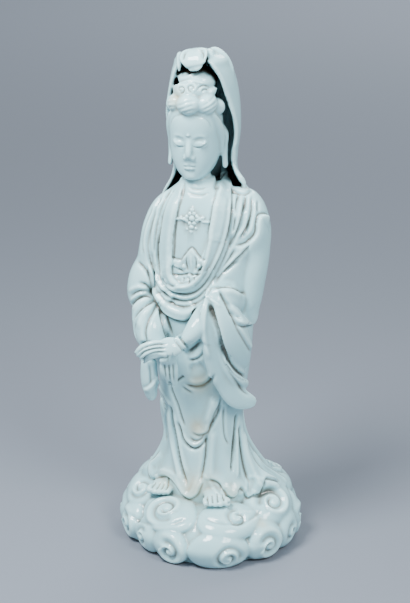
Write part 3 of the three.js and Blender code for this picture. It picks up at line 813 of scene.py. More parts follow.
class Skin:
    """The joined clay. Strokes add up as a push along each point's normal, and settle() carries them out."""

    def __init__(self, piece):
        self.piece = piece
        self.read()

    def read(self):
        mesh = self.piece.data
        self.co = places(mesh)
        out = np.empty(self.co.size)
        mesh.vertices.foreach_get("normal", out)
        self.out = out.reshape(-1, 3)
        self.push = np.zeros(len(self.co))
        bpy.context.view_layer.update()
        self.tree = BVHTree.FromObject(self.piece, bpy.context.evaluated_depsgraph_get())

    def settle(self, rounds):
        mesh = self.piece.data
        mesh.vertices.foreach_set("co", (self.co + self.out * self.push[:, None]).ravel())
        mesh.update()
        soften(mesh, rounds, EVENLY)
        self.read()

    def line(self, points, cast):
        """A smooth line through points, dropped onto the clay: its places and outward directions."""
        rows = by_length(points)
        steps = max(6, int(np.linalg.norm(np.diff(np.asarray(points, float), axis=0), axis=1).sum()))
        found = [cast(p) for p in between(rows, np.linspace(0, 1, steps))]
        found = [(spot[:], out[:]) for spot, out, *_ in found if spot is not None]
        return np.array([f[0] for f in found]), unit(np.array([f[1] for f in found]))

    def in_photo(self, points):
        """Points are pixels of the photograph."""
        return self.line(points, lambda p: hit(self.tree, *p))

    def on_face(self, points):
        """Points are x and z in the head's own frame, seen from straight in front of it."""
        way = Vector(from_head((0, 1, 0)) - HEAD_MIDDLE)

        def cast(p):
            return self.tree.ray_cast(Vector(from_head((p[0], -BEFORE_FACE, p[1]))), way)

        return self.line(points, cast)

    def round_body(self, points):
        """Points are angles from the front and heights, seen from straight outside."""

        def cast(p):
            way = Vector((math.sin(math.radians(p[0])), -math.cos(math.radians(p[0])), 0))
            return self.tree.ray_cast(way * OUTSIDE_BODY + Vector((*BODY_AXIS, p[1])), -way)

        return self.line(points, cast)

    def round_head(self, points):
        """Points are angles from the front of the head and heights in its frame."""

        def cast(p):
            a = math.radians(p[0])
            start = from_head((OUTSIDE_HEAD * math.sin(a), -OUTSIDE_HEAD * math.cos(a), p[1]))
            inwards = unit(from_head((0, 2, p[1])) - start)
            return self.tree.ray_cast(Vector(start), Vector(inwards), 0.8 * OUTSIDE_HEAD)

        return self.line(points, cast)

    def draw(self, lines, cast):
        """Draws a table of lines, which cast() drops onto the clay."""
        for tool, high, wide, points in lines.values():
            self.stroke(cast(points), tool, high, wide * BLUNT)

    def stroke(self, line, tool, high, wide, ends=EASE):
        """Draws a tool along a line. high and wide are in mm, and the tool eases in and out over ends.
        wide may be a pair, for a line that grows from one width to the other."""
        spots, outs = line
        if len(spots) < FEWEST_SPOTS:
            return
        way = unit(np.gradient(spots, axis=0))
        right = unit(np.cross(way, outs))
        gone = np.concatenate([[0], np.cumsum(np.linalg.norm(np.diff(spots, axis=0), axis=1))])
        ease = min(ends, MOST_EASE * gone[-1])
        wide = np.linspace(*np.broadcast_to(wide, 2), len(spots))
        reach = tool.reach * wide.max() + 1
        near = self.near(spots, reach)
        for part in np.array_split(near, len(near) * len(spots) // PAIRS_AT_ONCE + 1):
            if not len(part):
                continue
            here = self.co[part]
            apart = (here**2).sum(1)[:, None] + (spots**2).sum(1)[None] - 2 * here @ spots.T
            j = apart.argmin(axis=1)
            gap = here - spots[j]
            side = np.sum(gap * right[j], axis=1)
            depth = np.abs(np.sum(gap * outs[j], axis=1))
            past = np.sum(gap * way[j], axis=1)
            past = np.where((j == 0) & (past < 0) | (j == len(spots) - 1) & (past > 0), past, 0)
            turned = np.sum(self.out[part] * outs[j], axis=1)
            weight = smooth(np.minimum(gone[j], gone[-1] - gone[j]) / ease + 0.1)
            weight = weight * bump(past, 0, PAST_ENDS) * smooth((turned - FACING_FROM) / FACING_SPAN)
            weight = weight * smooth(2.4 - depth / (0.6 * reach + 1))
            self.push[part] += high * weight * tool(side, wide[j])

    def near(self, spots, reach):
        """The points in the box of some spots, widened by reach."""
        inside = (self.co > spots.min(0) - reach) & (self.co < spots.max(0) + reach)
        return np.flatnonzero(inside.all(axis=1))

    def boss(self, spot, out, radius, high):
        """A round boss that stands high over the clay."""
        spot, out = np.asarray(spot), np.asarray(out)
        near = self.near(spot[None], radius)
        gap = self.co[near] - spot
        facing = smooth(np.sum(self.out[near] * out, axis=1) / FACING_SPAN)
        self.push[near] += high * facing * np.sqrt(np.clip(1 - (gap**2).sum(1) / radius**2, 0, 1))

    def boss_in_photo(self, x, y, radius, high):
        spot, out, *_ = hit(self.tree, x, y)
        self.boss(spot, out, radius, high)


def groove(side, wide):
    return -bump(side, 0, wide)


def fold(side, wide):
    return bump(side, 0, wide)


def hem(side, wide):
    """The edge of a cloth that lies on another: raised to the right of the line, creased on its left."""
    raised = smooth(side / 1.6 + 0.5) * bump(np.maximum(side - 0.8, 0), 0, wide)
    return raised - 0.4 * bump(side + 1.1, 0, 0.9)


def curl(side, wide):
    """A trough with a rolled ridge on the right of the line."""
    return 0.55 * bump(side, 1.9 * wide, 1.1 * wide) - bump(side, 0, wide)


# How far each tool reaches to its sides, over its width.
groove.reach, fold.reach, hem.reach, curl.reach = 2.2, 2.2, 2.0, 3.4

BLUNT = 1.2  # the glaze makes each line this many times as wide

# The open fold between the two falls of the left sleeve, without its ends.
PARTING = [(213.5, 317), (217.5, 331), (221, 344), (225.5, 355), (231.5, 365), (239, 373)]

# Each line: tool, height, width, and the pixels of the photograph that it runs through.
BREAST_LINES = {
    "inner edge of the collar": (hem, 1.6, 3, [
        (185, 184), (181, 197), (177, 211), (175, 225), (174, 240), (173, 255), (171, 268), (173, 278),
        (180, 284), (188, 284), (196, 278), (202, 268), (206, 253), (209, 240), (211, 225), (214, 208),
        (217, 195), (220, 184),
    ]),
    "rolled rim of the collar": (fold, 0.8, 0.8, [
        (183, 190), (179, 203), (176, 215), (173, 228), (172, 244), (170, 258), (168, 270), (171, 281),
        (180, 287), (189, 286), (198, 280), (204, 269), (208, 255), (211, 241), (213, 226), (216, 209),
        (219, 196),
    ]),
    "outer edge of the collar": (groove, 2.0, 1.0, [
        (233, 186), (233, 203), (231, 221), (227, 238), (221, 255), (213, 271), (205, 284), (196, 292),
        (185, 295), (173, 291), (165, 284), (160, 272), (158, 258), (158, 244), (160, 230), (164, 212),
        (169, 198), (175, 188),
    ]),
    "crease in the collar": (groove, 1.0, 1.2, [
        (229, 196), (227, 214), (223, 233), (217, 251), (209, 268), (200, 281), (190, 290),
    ]),
    "second fold below": (groove, 2.2, 1.3, [
        (233, 232), (229, 245), (223, 260), (215, 275), (206, 289), (196, 298), (183, 301), (170, 297),
        (160, 287), (155, 273), (152, 258), (150, 240), (152, 224), (157, 208),
    ]),
    "ridge between them": (fold, 1.5, 1.8, [
        (229, 240), (222, 256), (214, 273), (205, 287), (195, 296), (184, 298), (170, 293), (161, 282),
        (157, 270), (155, 256),
    ]),
    "third fold": (groove, 2.0, 1.1, [
        (214, 285), (204, 298), (195, 304), (183, 307), (170, 303), (161, 294), (155, 282),
    ]),
    "ridge of the sling": (fold, 1.8, 2.4, [
        (216, 281), (206, 295), (196, 307), (184, 312), (172, 308), (162, 299), (155, 285),
    ]),
    "lower edge of the sling": (hem, 3.0, 6, [
        (191, 317), (185, 320), (177, 319), (167, 314), (159, 305), (155, 293), (151, 279), (148, 264),
    ]),
    "turned corner": (hem, 1.6, 3, [(162, 270), (165, 282), (172, 287), (181, 285), (187, 283)]),
    "pinch": (groove, 1.3, 0.8, [(167, 298), (171, 302), (176, 304)]),
    "right shoulder 1": (groove, 1.8, 1.1, [(171, 188), (163, 203), (158, 220), (155, 238), (154, 256)]),
    "right shoulder 2": (groove, 1.8, 1.2, [(163, 195), (154, 211), (149, 229), (147, 248), (150, 262)]),
    "right shoulder 3": (groove, 1.5, 1.2, [(153, 206), (145, 226), (142, 246), (143, 256)]),
    "right shoulder ridge 1": (fold, 1.2, 1.5, [
        (167, 192), (159, 207), (153, 225), (151, 244), (152, 258),
    ]),
    "right shoulder ridge 2": (fold, 1.2, 1.6, [(158, 201), (150, 219), (145, 238), (145, 254)]),
    "armpit crease": (groove, 2.4, 0.9, [(147, 254), (150, 263), (156, 276), (161, 287)]),
    "crease beside it": (groove, 1.8, 0.8, [(154, 262), (158, 272), (163, 283)]),
}
RIGHT_SLEEVE_LINES = {
    "pull to the shoulder": (groove, 2.4, 1.0, [(137, 261), (144, 268), (152, 281)]),
    "elbow 1": (groove, 2.8, 1.1, [(138, 282), (147, 286), (155, 296)]),
    "elbow 2": (groove, 1.8, 1.0, [(130, 297), (137, 292), (146, 291), (154, 296)]),
    "elbow 3": (groove, 2.0, 1.0, [(131, 306), (137, 299), (146, 296), (154, 298)]),
    "elbow 4": (groove, 3.2, 1.2, [(131, 322), (137, 312), (145, 305), (157, 299)]),
    "elbow 5": (groove, 2.8, 1.3, [(146, 343), (145, 331), (148, 321), (153, 312), (159, 303)]),
    "ridge 1": (fold, 1.4, 1.7, [(128, 291), (138, 287), (148, 290)]),
    "ridge 2": (fold, 1.2, 1.3, [(130, 301), (138, 295), (148, 294)]),
    "ridge 3": (fold, 1.8, 2.0, [(130, 313), (139, 303), (151, 297)]),
    "ridge 4": (fold, 1.8, 2.4, [(138, 330), (142, 317), (152, 306)]),
    "lower crease": (groove, 1.4, 1.1, [(137, 340), (134, 330), (136, 321)]),
    "girdle cord, outer": (groove, 2.6, 1.4, [(160, 308), (163, 321), (167, 337)]),
    "girdle cord, inner": (groove, 1.8, 0.8, [(165, 312), (169, 324), (173, 337)]),
    "girdle cord": (fold, 1.2, 0.9, [(163, 312), (167, 325), (170, 337)]),
    "cuff turn": (hem, 1.6, 3, [(143, 389), (149, 386), (156, 378)]),
    "cuff fold": (groove, 1.4, 1.0, [(149, 362), (151, 374), (151, 386)]),
}
LEFT_SLEEVE_LINES = {
    "edge of the upper sleeve": (hem, 3.4, 7, [
        (264, 311), (257, 318), (249, 324), (240, 325), (232, 314), (226, 302), (219, 288),
    ]),
    "deep parting": (groove, 4.4, 1.2, [(209.5, 302), *PARTING, (248, 377)]),
    "parting above the tip": (groove, 1.9, 1.2, [
        (219, 338), (221, 350), (224, 362), (229, 372), (236, 382), (243, 390), (251, 396),
    ]),
    "rim of the back fall": (hem, 1.8, 4, [(253, 354), (246, 342), (239, 330), (233, 318)]),
    "front rim": (fold, 1.3, 1.4, [(207.5, 298), (205, 312), (203.8, 330), (205.5, 346), (209.5, 360)]),
    "elbow crease": (groove, 2.2, 1.0, [(210, 289), (220, 287), (231, 288), (240, 291), (247, 295)]),
    "elbow ridge": (fold, 1.5, 1.7, [(214, 293), (224, 291), (234, 293), (242, 297)]),
    "elbow ridge above": (fold, 1.0, 1.6, [(218, 283), (228, 283), (238, 286)]),
    "nick at the edge": (groove, 2.4, 0.9, [(229, 311), (234, 316), (239, 320)]),
}
LEFT_SHOULDER_LINES = {
    "edge of the veil": (hem, 2.6, 6, [
        (234, 247), (241, 246), (250, 241), (256, 233), (257, 222), (259, 216), (266, 215), (273, 223),
    ]),
    "slit": (groove, 2.4, 0.8, [(236, 216), (235, 225), (233, 234)]),
    "hood corner": (groove, 2.2, 1.1, [(253, 184), (250, 191), (243, 194), (236, 192), (231, 186)]),
    "fold 1": (groove, 2.0, 1.0, [(239, 192), (237, 204), (236, 214)]),
    "fold 2": (groove, 2.2, 1.1, [(246, 193), (244, 208), (241, 222), (235, 237), (228, 251)]),
    "fold 3": (groove, 2.0, 1.1, [(252, 196), (251, 212), (247, 227), (239, 240)]),
    "fold 4": (groove, 1.4, 1.0, [(258, 200), (257, 213)]),
    "ridge 1": (fold, 1.4, 1.3, [(242, 192), (240, 210), (236, 226), (231, 240)]),
    "ridge 2": (fold, 1.4, 1.3, [(249, 194), (248, 211), (244, 227), (237, 239)]),
    "ridge 3": (fold, 1.4, 1.4, [(255, 199), (254, 215), (251, 229), (244, 239)]),
    "under the veil 1": (groove, 2.4, 1.0, [(250, 243), (243, 252), (234, 262), (224, 272), (214, 284)]),
    "under the veil 2": (groove, 2.0, 0.9, [(240, 260), (231, 267), (223, 274)]),
    "under the veil 3": (groove, 2.0, 1.1, [(236, 248), (229, 260), (221, 271), (212, 282)]),
    "ridge under the veil": (fold, 1.3, 1.3, [(243, 249), (233, 260), (223, 270), (215, 279)]),
}
SKIRT_LINES = {
    "under the forearm": (groove, 3.6, 3.6, [(184, 356), (192, 352), (198, 347), (203, 341)]),
    "knot under the wrist": (groove, 2.0, 1.0, [(186, 358), (191, 361), (198, 359), (204, 353)]),
    "hollow of the waist": (groove, 2.2, 5, [(188, 366), (196, 367), (204, 363)]),
    "fold from the cuff": (fold, 1.4, 1.2, [(155, 374), (159, 385), (165, 396), (172, 408)]),
    "crease under it": (groove, 2.0, 1.0, [(157, 388), (162, 400), (167, 412)]),
    "waist swag": (groove, 2.4, 1.1, [(184, 384), (193, 387), (203, 386), (210, 381), (216, 373)]),
    "waist ridge": (fold, 1.8, 1.6, [(187, 379), (195, 382), (204, 380), (211, 374)]),
    "waist crease": (groove, 1.6, 0.9, [(181, 386), (186, 390), (193, 394)]),
    "apron, left edge": (hem, 2.6, 5, [
        (220, 397), (218, 404), (214, 412), (210, 422), (206, 432), (200, 434), (192, 432),
    ]),
    "apron, right edge": (groove, 2.0, 1.1, [(169, 380), (172, 392), (177, 404), (181, 417), (185, 428)]),
    "apron ridge": (fold, 1.5, 1.8, [(214, 395), (210, 408), (205, 423)]),
    "swag": (groove, 2.6, 1.1, [(177, 420), (181, 433), (186, 444), (194, 449), (201, 446), (206, 438)]),
    "swag above": (groove, 2.0, 0.8, [(189, 436), (194, 441), (200, 440), (205, 433)]),
    "swag ridge": (fold, 1.4, 1.2, [(182, 430), (187, 440), (194, 445), (201, 442)]),
    "right leg 1": (groove, 3.2, 1.1, [
        (170, 405), (172, 420), (175, 436), (178, 453), (182, 470), (187, 486),
    ]),
    "right leg 2": (groove, 2.8, 1.3, [(165, 402), (165, 424), (166, 442)]),
    "right leg ridge 1": (fold, 1.6, 1.5, [(174, 412), (178, 430), (181, 447), (184, 462), (188, 476)]),
    "right leg ridge 2": (fold, 1.8, 1.8, [(168, 408), (170, 428), (173, 448), (177, 466), (181, 482)]),
    "between the legs": (groove, 3.2, 1.3, [(206, 434), (206, 448), (204, 465), (200, 482)]),
    "left of the apron": (groove, 2.2, 1.0, [(221, 404), (217, 415), (212, 424), (208, 431)]),
    "left leg": (groove, 1.8, 1.0, [(224, 406), (224, 424), (226, 438), (230, 446)]),
    "left leg ridge": (fold, 1.6, 2.2, [(213, 430), (212, 448), (211, 466), (210, 478)]),
    "left side 1": (groove, 3.2, 1.2, [(237, 412), (235, 434), (233, 455), (232, 474)]),
    "left side 2": (groove, 3.0, 1.2, [(240, 424), (241, 448), (244, 467), (249, 484)]),
    "left side ridge 1": (fold, 1.8, 1.4, [(237, 430), (237, 455), (237, 480)]),
    "left side ridge 2": (fold, 1.8, 2.0, [(244, 430), (247, 452), (254, 472), (261, 488)]),
    "left side 3": (groove, 2.2, 1.3, [(249, 444), (256, 459), (266, 471), (281, 481)]),
    "left side ridge 3": (fold, 1.5, 1.6, [(252, 450), (262, 464), (276, 474), (288, 482)]),
    "hem, left": (hem, 2.2, 4, [
        (279, 481), (271, 479), (265, 478), (262, 485), (258, 494), (253, 497), (248, 497), (244, 491),
        (240, 487), (237, 491), (233, 497), (229, 496), (224, 489), (219, 482), (212, 479), (205, 479),
    ]),
    "hem, right": (hem, 2.2, 4, [
        (203, 480), (200, 487), (196, 495), (190, 498), (183, 494), (178, 487), (172, 479), (165, 475),
        (158, 477), (151, 479),
    ]),
    "hem, right end": (hem, 1.8, 4, [(152, 480), (149, 472), (150, 463), (156, 457), (161, 450)]),
    "right hip": (groove, 2.0, 1.0, [(159, 392), (162, 402), (165, 414)]),
}
HOOD_LINES = {
    "dip beside the lappet": (groove, 3.0, 1.6, [(205, 62), (204, 56), (203, 51), (201, 47)]),
    "second dip": (groove, 2.4, 1.4, [(182, 62), (183, 55), (186, 49)]),
    "rim by the face": (fold, 1.0, 1.1, [
        (211, 62), (216, 70), (221, 79), (225, 92), (229, 104), (234, 117), (236, 128), (235, 142),
        (232, 155), (234, 166), (240, 176), (247, 182),
    ]),
    "corner of the hood": (groove, 1.6, 1.0, [(233, 174), (238, 182), (243, 187), (248, 187)]),
}
CLOUD_LINES = {
    "lip of the left cloud": (groove, 1.2, 1.6, [
        (127, 512), (140, 521), (155, 525), (172, 524), (188, 518),
    ]),
    "lip of the right cloud": (groove, 1.2, 1.6, [
        (204, 518), (220, 523), (238, 523), (254, 517), (262, 508),
    ]),
}
# Behind, where the photograph doesn't reach, lines run by angle from the front and height.
BACK_LINES = {
    "middle": (groove, 2.6, 3.4, [(180, 262), (183, 232), (178, 196), (181, 150), (184, 108)]),
    "left 1": (groove, 2.2, 2.6, [(160, 258), (152, 225), (157, 186), (160, 150), (157, 104)]),
    "left 2": (groove, 2.6, 3.0, [(138, 256), (130, 228), (134, 190), (139, 156)]),
    "left 3": (groove, 1.6, 2.2, [(147, 214), (145, 184), (149, 150), (148, 112)]),
    "right 1": (groove, 2.4, 2.8, [(202, 252), (209, 222), (205, 184), (201, 146), (204, 104)]),
    "right 2": (groove, 2.2, 2.8, [(224, 260), (231, 226), (227, 188), (223, 160)]),
    "right 3": (groove, 1.6, 2.0, [(214, 206), (217, 176), (213, 140), (215, 110)]),
    "ridge, left": (fold, 1.6, 3.0, [(169, 254), (167, 220), (168, 180), (171, 130)]),
    "ridge, right": (fold, 1.6, 3.0, [(192, 250), (195, 216), (191, 176), (192, 128)]),
    "nape swag 1": (groove, 2.0, 2.2, [(138, 288), (158, 277), (180, 273), (202, 278), (220, 290)]),
    "nape swag 2": (groove, 1.8, 2.0, [(146, 304), (163, 294), (181, 291), (198, 295), (212, 304)]),
    "nape ridge": (fold, 1.4, 2.2, [(142, 296), (160, 285), (180, 282), (200, 286), (216, 297)]),
    "skirt 1": (groove, 2.6, 2.6, [(172, 92), (170, 72), (164, 50)]),
    "skirt 2": (groove, 2.2, 2.2, [(193, 92), (196, 72), (200, 50)]),
    "skirt 3": (groove, 2.6, 2.4, [(147, 94), (142, 72), (135, 50)]),
    "skirt 4": (groove, 2.2, 2.2, [(216, 92), (222, 72), (229, 50)]),
    "right side 1": (groove, 2.0, 2.0, [(-95, 150), (-97, 120), (-96, 90), (-92, 66)]),
    "right side 2": (groove, 2.2, 2.2, [(-112, 150), (-116, 120), (-114, 90), (-108, 60)]),
    "left side 1": (groove, 2.2, 2.2, [(104, 150), (107, 120), (106, 92), (109, 60)]),
    "left side 2": (groove, 2.0, 2.0, [(120, 140), (124, 115), (123, 92), (126, 64)]),
}
# The face in the head's own frame: x to the figure's left and z up. Only one side is drawn, and mirrored.
FACE_LINES = {
    "brow": (fold, 0.5, 1.2, [(2.4, BROW - 2.4), (5.5, BROW + 0.2), (9.5, BROW + 0.8), (13.8, BROW - 1.4)]),
    "socket": (groove, 0.55, 1.6, [(3.2, EYES + 1.8), (7.0, EYES + 3.8), (12.0, EYES + 2.6)]),
    "upper lid": (groove, 0.35, 0.5, [
        (3.2, EYES + 0.6), (6.2, EYES + 2.3), (9.6, EYES + 2.3), (13.0, EYES + 0.6),
    ]),
    "closed lid": (groove, 1.0, 0.55, [
        (2.6, EYES - 1.7), (5.2, EYES - 2.7), (8.6, EYES - 2.7), (11.6, EYES - 1.4), (13.8, EYES + 0.1),
    ]),
    "lash": (fold, 0.3, 0.5, [(3.2, EYES - 0.9), (5.6, EYES - 1.8), (8.6, EYES - 1.8), (11.6, EYES - 0.6)]),
    "wing of the nose": (groove, 0.4, 0.5, [
        (4.6, NOSE_BASE + 3.0), (5.3, NOSE_BASE + 1.2), (4.4, NOSE_BASE - 0.6),
    ]),
    "upper lip": (fold, 0.5, 0.8, [
        (0.3, MOUTH + 1.1), (1.7, MOUTH + 1.4), (3.4, MOUTH + 0.9), (4.8, MOUTH + 0.4),
    ]),
    "lower lip": (fold, 0.6, 1.0, [(-0.4, MOUTH - 1.7), (1.8, MOUTH - 1.5), (3.6, MOUTH - 0.8)]),
    "mouth": (groove, 0.9, 0.5, [
        (-0.2, MOUTH - 0.1), (1.6, MOUTH + 0.15), (3.4, MOUTH - 0.05), (5.2, MOUTH + 0.55),
    ]),
    "under the lip": (groove, 0.45, 1.1, [(-0.2, MOUTH - 4.0), (2.2, MOUTH - 3.8), (4.0, MOUTH - 3.0)]),
    "philtrum": (groove, 0.25, 0.7, [(0.0, NOSE_BASE - 1.4), (0.0, NOSE_BASE - 2.6), (0.0, MOUTH + 2.6)]),
    "hairline": (groove, 0.5, 0.8, [(0.0, 25.4), (6.0, 25.2), (11.0, 23.4), (14.8, 19.0), (16.6, 12.0)]),
}

# Places that are rubbed smooth with the thumb, where several lumps meet: pixel, and reach in mm.
RUBBED = [
    (204, 292, 9), (214, 300, 9), (226, 352, 12), (236, 366, 10), (224, 390, 10), (240, 182, 8),
    (193, 362, 8),
]


def rub(skin):
    worn = np.zeros(len(skin.co))
    for x, y, reach in RUBBED:
        spot = np.array(hit(skin.tree, x, y)[0])
        worn = np.maximum(worn, bump(np.linalg.norm(skin.co - spot, axis=1), 0, reach))
    soften(figure.data, 24, EVENLY * worn)
    skin.read()


def ease_line(skin, line, reach, rounds):
    """Softens the skin along a line, and less and less over reach to its sides."""
    spots, _ = line
    tree = tree_of(spots)
    near = skin.near(spots, 2 * reach)
    worn = np.zeros(len(skin.co))
    worn[near] = [bump(tree.find(skin.co[i])[2], 0, reach) for i in near]
    soften(figure.data, rounds, EVENLY * worn)
    skin.read()


HEM_ROLL = 2.4  # the rolled edge in front lies this much above the hem
HEM_ROLLED = (-66, 92)
SCROLL_LIFT = 15.0  # scrolls are drawn this far off the clouds and dropped onto them
SCROLL_DEPTH = 2.6
SCROLL_WIDTHS = (1.7, 3.2)

# Where each lobe's scroll winds out from: angle, share of the way up, size in mm, turns, first direction in
# degrees, and which way it winds.
SCROLLS = [
    (31, 0.24, 12.0, 1.5, 150, -1), (-8, 0.27, 9.0, 1.4, 0, 1), (61, 0.3, 9.5, 1.4, 20, 1),
    (-36, 0.3, 8.5, 1.4, 180, -1), (-58, 0.3, 8.5, 1.4, 0, 1), (-79, 0.3, 9, 1.4, 180, -1),
    (-101, 0.3, 9, 1.4, 0, 1), (84, 0.31, 7.5, 1.4, 180, -1), (104, 0.3, 9, 1.4, 0, 1),
    (127, 0.29, 10, 1.4, 180, -1), (154, 0.29, 10, 1.4, 0, 1), (181, 0.29, 10.5, 1.5, 180, -1),
    (208, 0.29, 10, 1.4, 0, 1), (234, 0.29, 10, 1.4, 180, -1), (-24, 0.76, 13, 1.4, 200, 1),
    (43, 0.74, 9.5, 1.3, 160, -1), (-66, 0.74, 10.5, 1.4, 20, -1), (79, 0.73, 12, 1.4, 20, 1),
    (-115, 0.77, 12, 1.4, 180, 1), (130, 0.77, 13, 1.4, 180, -1), (180, 0.77, 13.5, 1.5, 0, 1),
]


def spiral(x, y, size, turns, start, hand):
    """Points that wind out about a middle: size, turns, first direction in degrees, and which way."""
    t = np.linspace(0, 1, 30)
    turn = math.radians(start) + hand * 2 * math.pi * turns * t
    reach = size * (0.15 + 0.85 * t)
    return np.column_stack([x + reach * np.cos(turn), y + reach * np.sin(turn)])


def scroll(skin, angle, share, size, turns, start, hand):
    """A line that winds out from the eye of a cloud, on the plane that touches the bank there."""
    steps = ((0, 0), (2, 0), (0, 0.04))
    corner = [on_bank(np.array([angle + turn]), np.array([share + rise]))[0] for turn, rise in steps]
    across = unit(corner[1] - corner[0])
    out = unit(np.cross(across, corner[2] - corner[0]))
    rise = np.cross(out, across)
    flat = spiral(0, 0, size, turns, start, hand)
    lines = corner[0] + out * SCROLL_LIFT + np.outer(flat[:, 0], across) + np.outer(flat[:, 1], rise)
    return skin.line(lines, lambda p: skin.tree.ray_cast(Vector(p), Vector(-out), 2 * SCROLL_LIFT))


# The first round: cloth and clouds.
skin = Skin(figure)
rub(skin)
UPPER_CLOTH = (BREAST_LINES, RIGHT_SLEEVE_LINES, LEFT_SLEEVE_LINES, LEFT_SHOULDER_LINES)
for lines in (*UPPER_CLOTH, SKIRT_LINES, HOOD_LINES, CLOUD_LINES):
    skin.draw(lines, skin.in_photo)
skin.draw(BACK_LINES, skin.round_body)
hem_line = [(angle, height + HEM_ROLL) for angle, height in HEM if HEM_ROLLED[0] < angle < HEM_ROLLED[1]]
skin.stroke(skin.round_body(hem_line), fold, 1.0, 1.5)
for row in SCROLLS:
    skin.stroke(scroll(skin, *row), curl, SCROLL_DEPTH, SCROLL_WIDTHS)
skin.settle(2)

# The second round: what is small enough to be cut when the cloth is done.
NECK_LINES = {
    "beside the neck, left": (groove, 2.2, 1.6, [(219, 172), (217.5, 181), (214.5, 192)]),
    "beside the neck, right": (groove, 1.6, 1.2, [(184, 181), (183, 188), (181, 198)]),
    "crease 1": (groove, 0.9, 0.7, [(188, 187), (194, 189), (201, 189), (209, 187)]),
    "crease 2": (groove, 0.9, 0.7, [(187, 192), (194, 194.5), (202, 195), (211, 192)]),
}
HAND_LINES = {
    "index and middle": (groove, 1.5, 0.6, [(168, 344), (152, 345.5), (142, 349), (136, 355)]),
    "middle and ring": (groove, 1.5, 0.6, [(168, 348), (152, 349.5), (143, 353), (138, 359)]),
    "ring and little": (groove, 1.5, 0.6, [(168, 352), (153, 353.5), (146, 357), (141, 362)]),
    "right index and middle": (groove, 1.6, 0.6, [(164.4, 364), (164.8, 372), (165.6, 379)]),
    "right middle and ring": (groove, 1.6, 0.6, [(168.8, 364), (169.3, 373), (169.9, 381)]),
    "right ring and little": (groove, 1.6, 0.6, [(173, 363), (173.6, 373), (174, 382)]),
    "bracelet": (fold, 1.8, 0.9, [(175, 336), (181, 343.5), (187.5, 352)]),
    "above the bracelet": (groove, 1.0, 0.7, [(172.5, 338), (178.5, 345), (184.5, 353)]),
    "below the bracelet": (groove, 1.0, 0.7, [(179.5, 337), (184, 343), (189, 349)]),
}
SLIT_LINES = {
    "parting": (groove, 1.5, 0.7, [(209.5, 303), *PARTING, (246, 377)]),
    "under the forearm": (groove, 1.0, 1.2, [(188, 352), (195, 347), (201, 341)]),
    "under the wrist": (groove, 1.8, 1.2, [(153, 359), (163, 358.5), (174, 357)]),
}
JEWEL_LINES = {
    "chain, right": (fold, 1.3, 0.8, [(175, 218), (180, 219), (185, 219)]),
    "chain, left": (fold, 1.3, 0.8, [(200, 220), (205, 222), (210, 222)]),
    "bodice, right": (hem, 1.5, 5, [(171, 258), (177, 260), (183, 261)]),
    "bodice, pointed": (hem, 1.9, 5, [(181, 262), (186, 255), (192, 249), (197, 255), (203, 262)]),
    "bodice, left": (hem, 1.5, 5, [(201, 261), (206, 261)]),
    "petal, right side": (groove, 1.4, 0.7, [(188, 253), (186.5, 262), (188, 272)]),
    "petal, left side": (groove, 1.4, 0.7, [(195, 253), (196.5, 262), (195, 272)]),
    "petal, middle": (fold, 1.2, 0.8, [(191.5, 253), (191.5, 263), (191.5, 271)]),
    "right loop": (groove, 1.5, 0.8, [(173, 266), (179, 269), (185, 273)]),
    "left loop": (groove, 1.5, 0.8, [(204, 265), (200, 269), (196, 273)]),
    "bow": (groove, 1.6, 0.8, [(171, 274), (180, 275), (189, 274), (196, 275), (202, 273)]),
    "right tassel": (groove, 1.3, 0.7, [(184, 277), (183, 282)]),
    "middle tassel": (groove, 1.3, 0.7, [(189, 277), (189, 284)]),
    "left tassel": (groove, 1.3, 0.7, [(194, 277), (195, 282)]),
}
# The pendant is a flower: its petals stand round the middle, by pixels across and down.
PENDANT_MIDDLE = (192, 218.5)
PENDANT_REACH = (5.6, 5.2)
PETALS = 8
PETAL = 1.5  # radius and height in mm
# Bosses: pixel, radius in mm and height in mm.
PENDANT_BOSSES = [
    (192, 218.5, 2.3, 2.2), (184.5, 219, 1.7, 1.6), (199.5, 219, 1.7, 1.6), (181, 217.5, 1.3, 1.2),
    (203, 218, 1.3, 1.2), (191.5, 227, 1.9, 1.6), (191, 231.5, 1.3, 1.3), (187, 229, 1.1, 1.0),
    (196, 228.5, 1.1, 1.0), (192, 210, 1.7, 1.5),
]
BODICE_BOSSES = [
    (184, 266.5, 1.9, 1.2), (199, 266.5, 1.9, 1.2), (177, 267, 2.2, 1.0), (189, 275, 1.6, 1.3),
    (183, 279.5, 1.3, 1.0), (195, 279.5, 1.3, 1.0),
]
CROWN_SCROLLS = [(180.5, 89.5, 4.0, 0, 1), (191.5, 88, 4.4, 180, -1)]
CROWN_LINES = {
    "rim": (fold, 0.8, 0.8, [(176, 88), (180, 83.5), (186, 81.5), (193, 81), (200, 82.5), (207, 85.5)]),
    "leaf, top": (groove, 1.1, 0.6, [(197, 92), (199, 87.5), (204, 85.5), (210, 87.5)]),
    "leaf, middle": (groove, 1.1, 0.6, [(201, 93), (204, 89.5), (210, 90)]),
    "between the scrolls": (groove, 0.9, 0.6, [(186.5, 84), (186, 89), (186.5, 94)]),
}


# Strands of hair: angle and height of the points of one strand, and how far above one another they lie.
ROLL_STRAND = [(-22, 29), (-6, 32.2), (8, 34.5), (20, 34.8)]
ROLL_STRAND_LIFTS = (-4.0, -0.4, 3.2)
BUN_STRAND = [(-60, 47), (-20, 50), (20, 54), (60, 56)]
BUN_STRAND_LIFTS = (0, 3.5, 7)
URNA = (1.4, 0.9)  # radius and height of the round mark over the brow
URNA_LIFT = 1.6


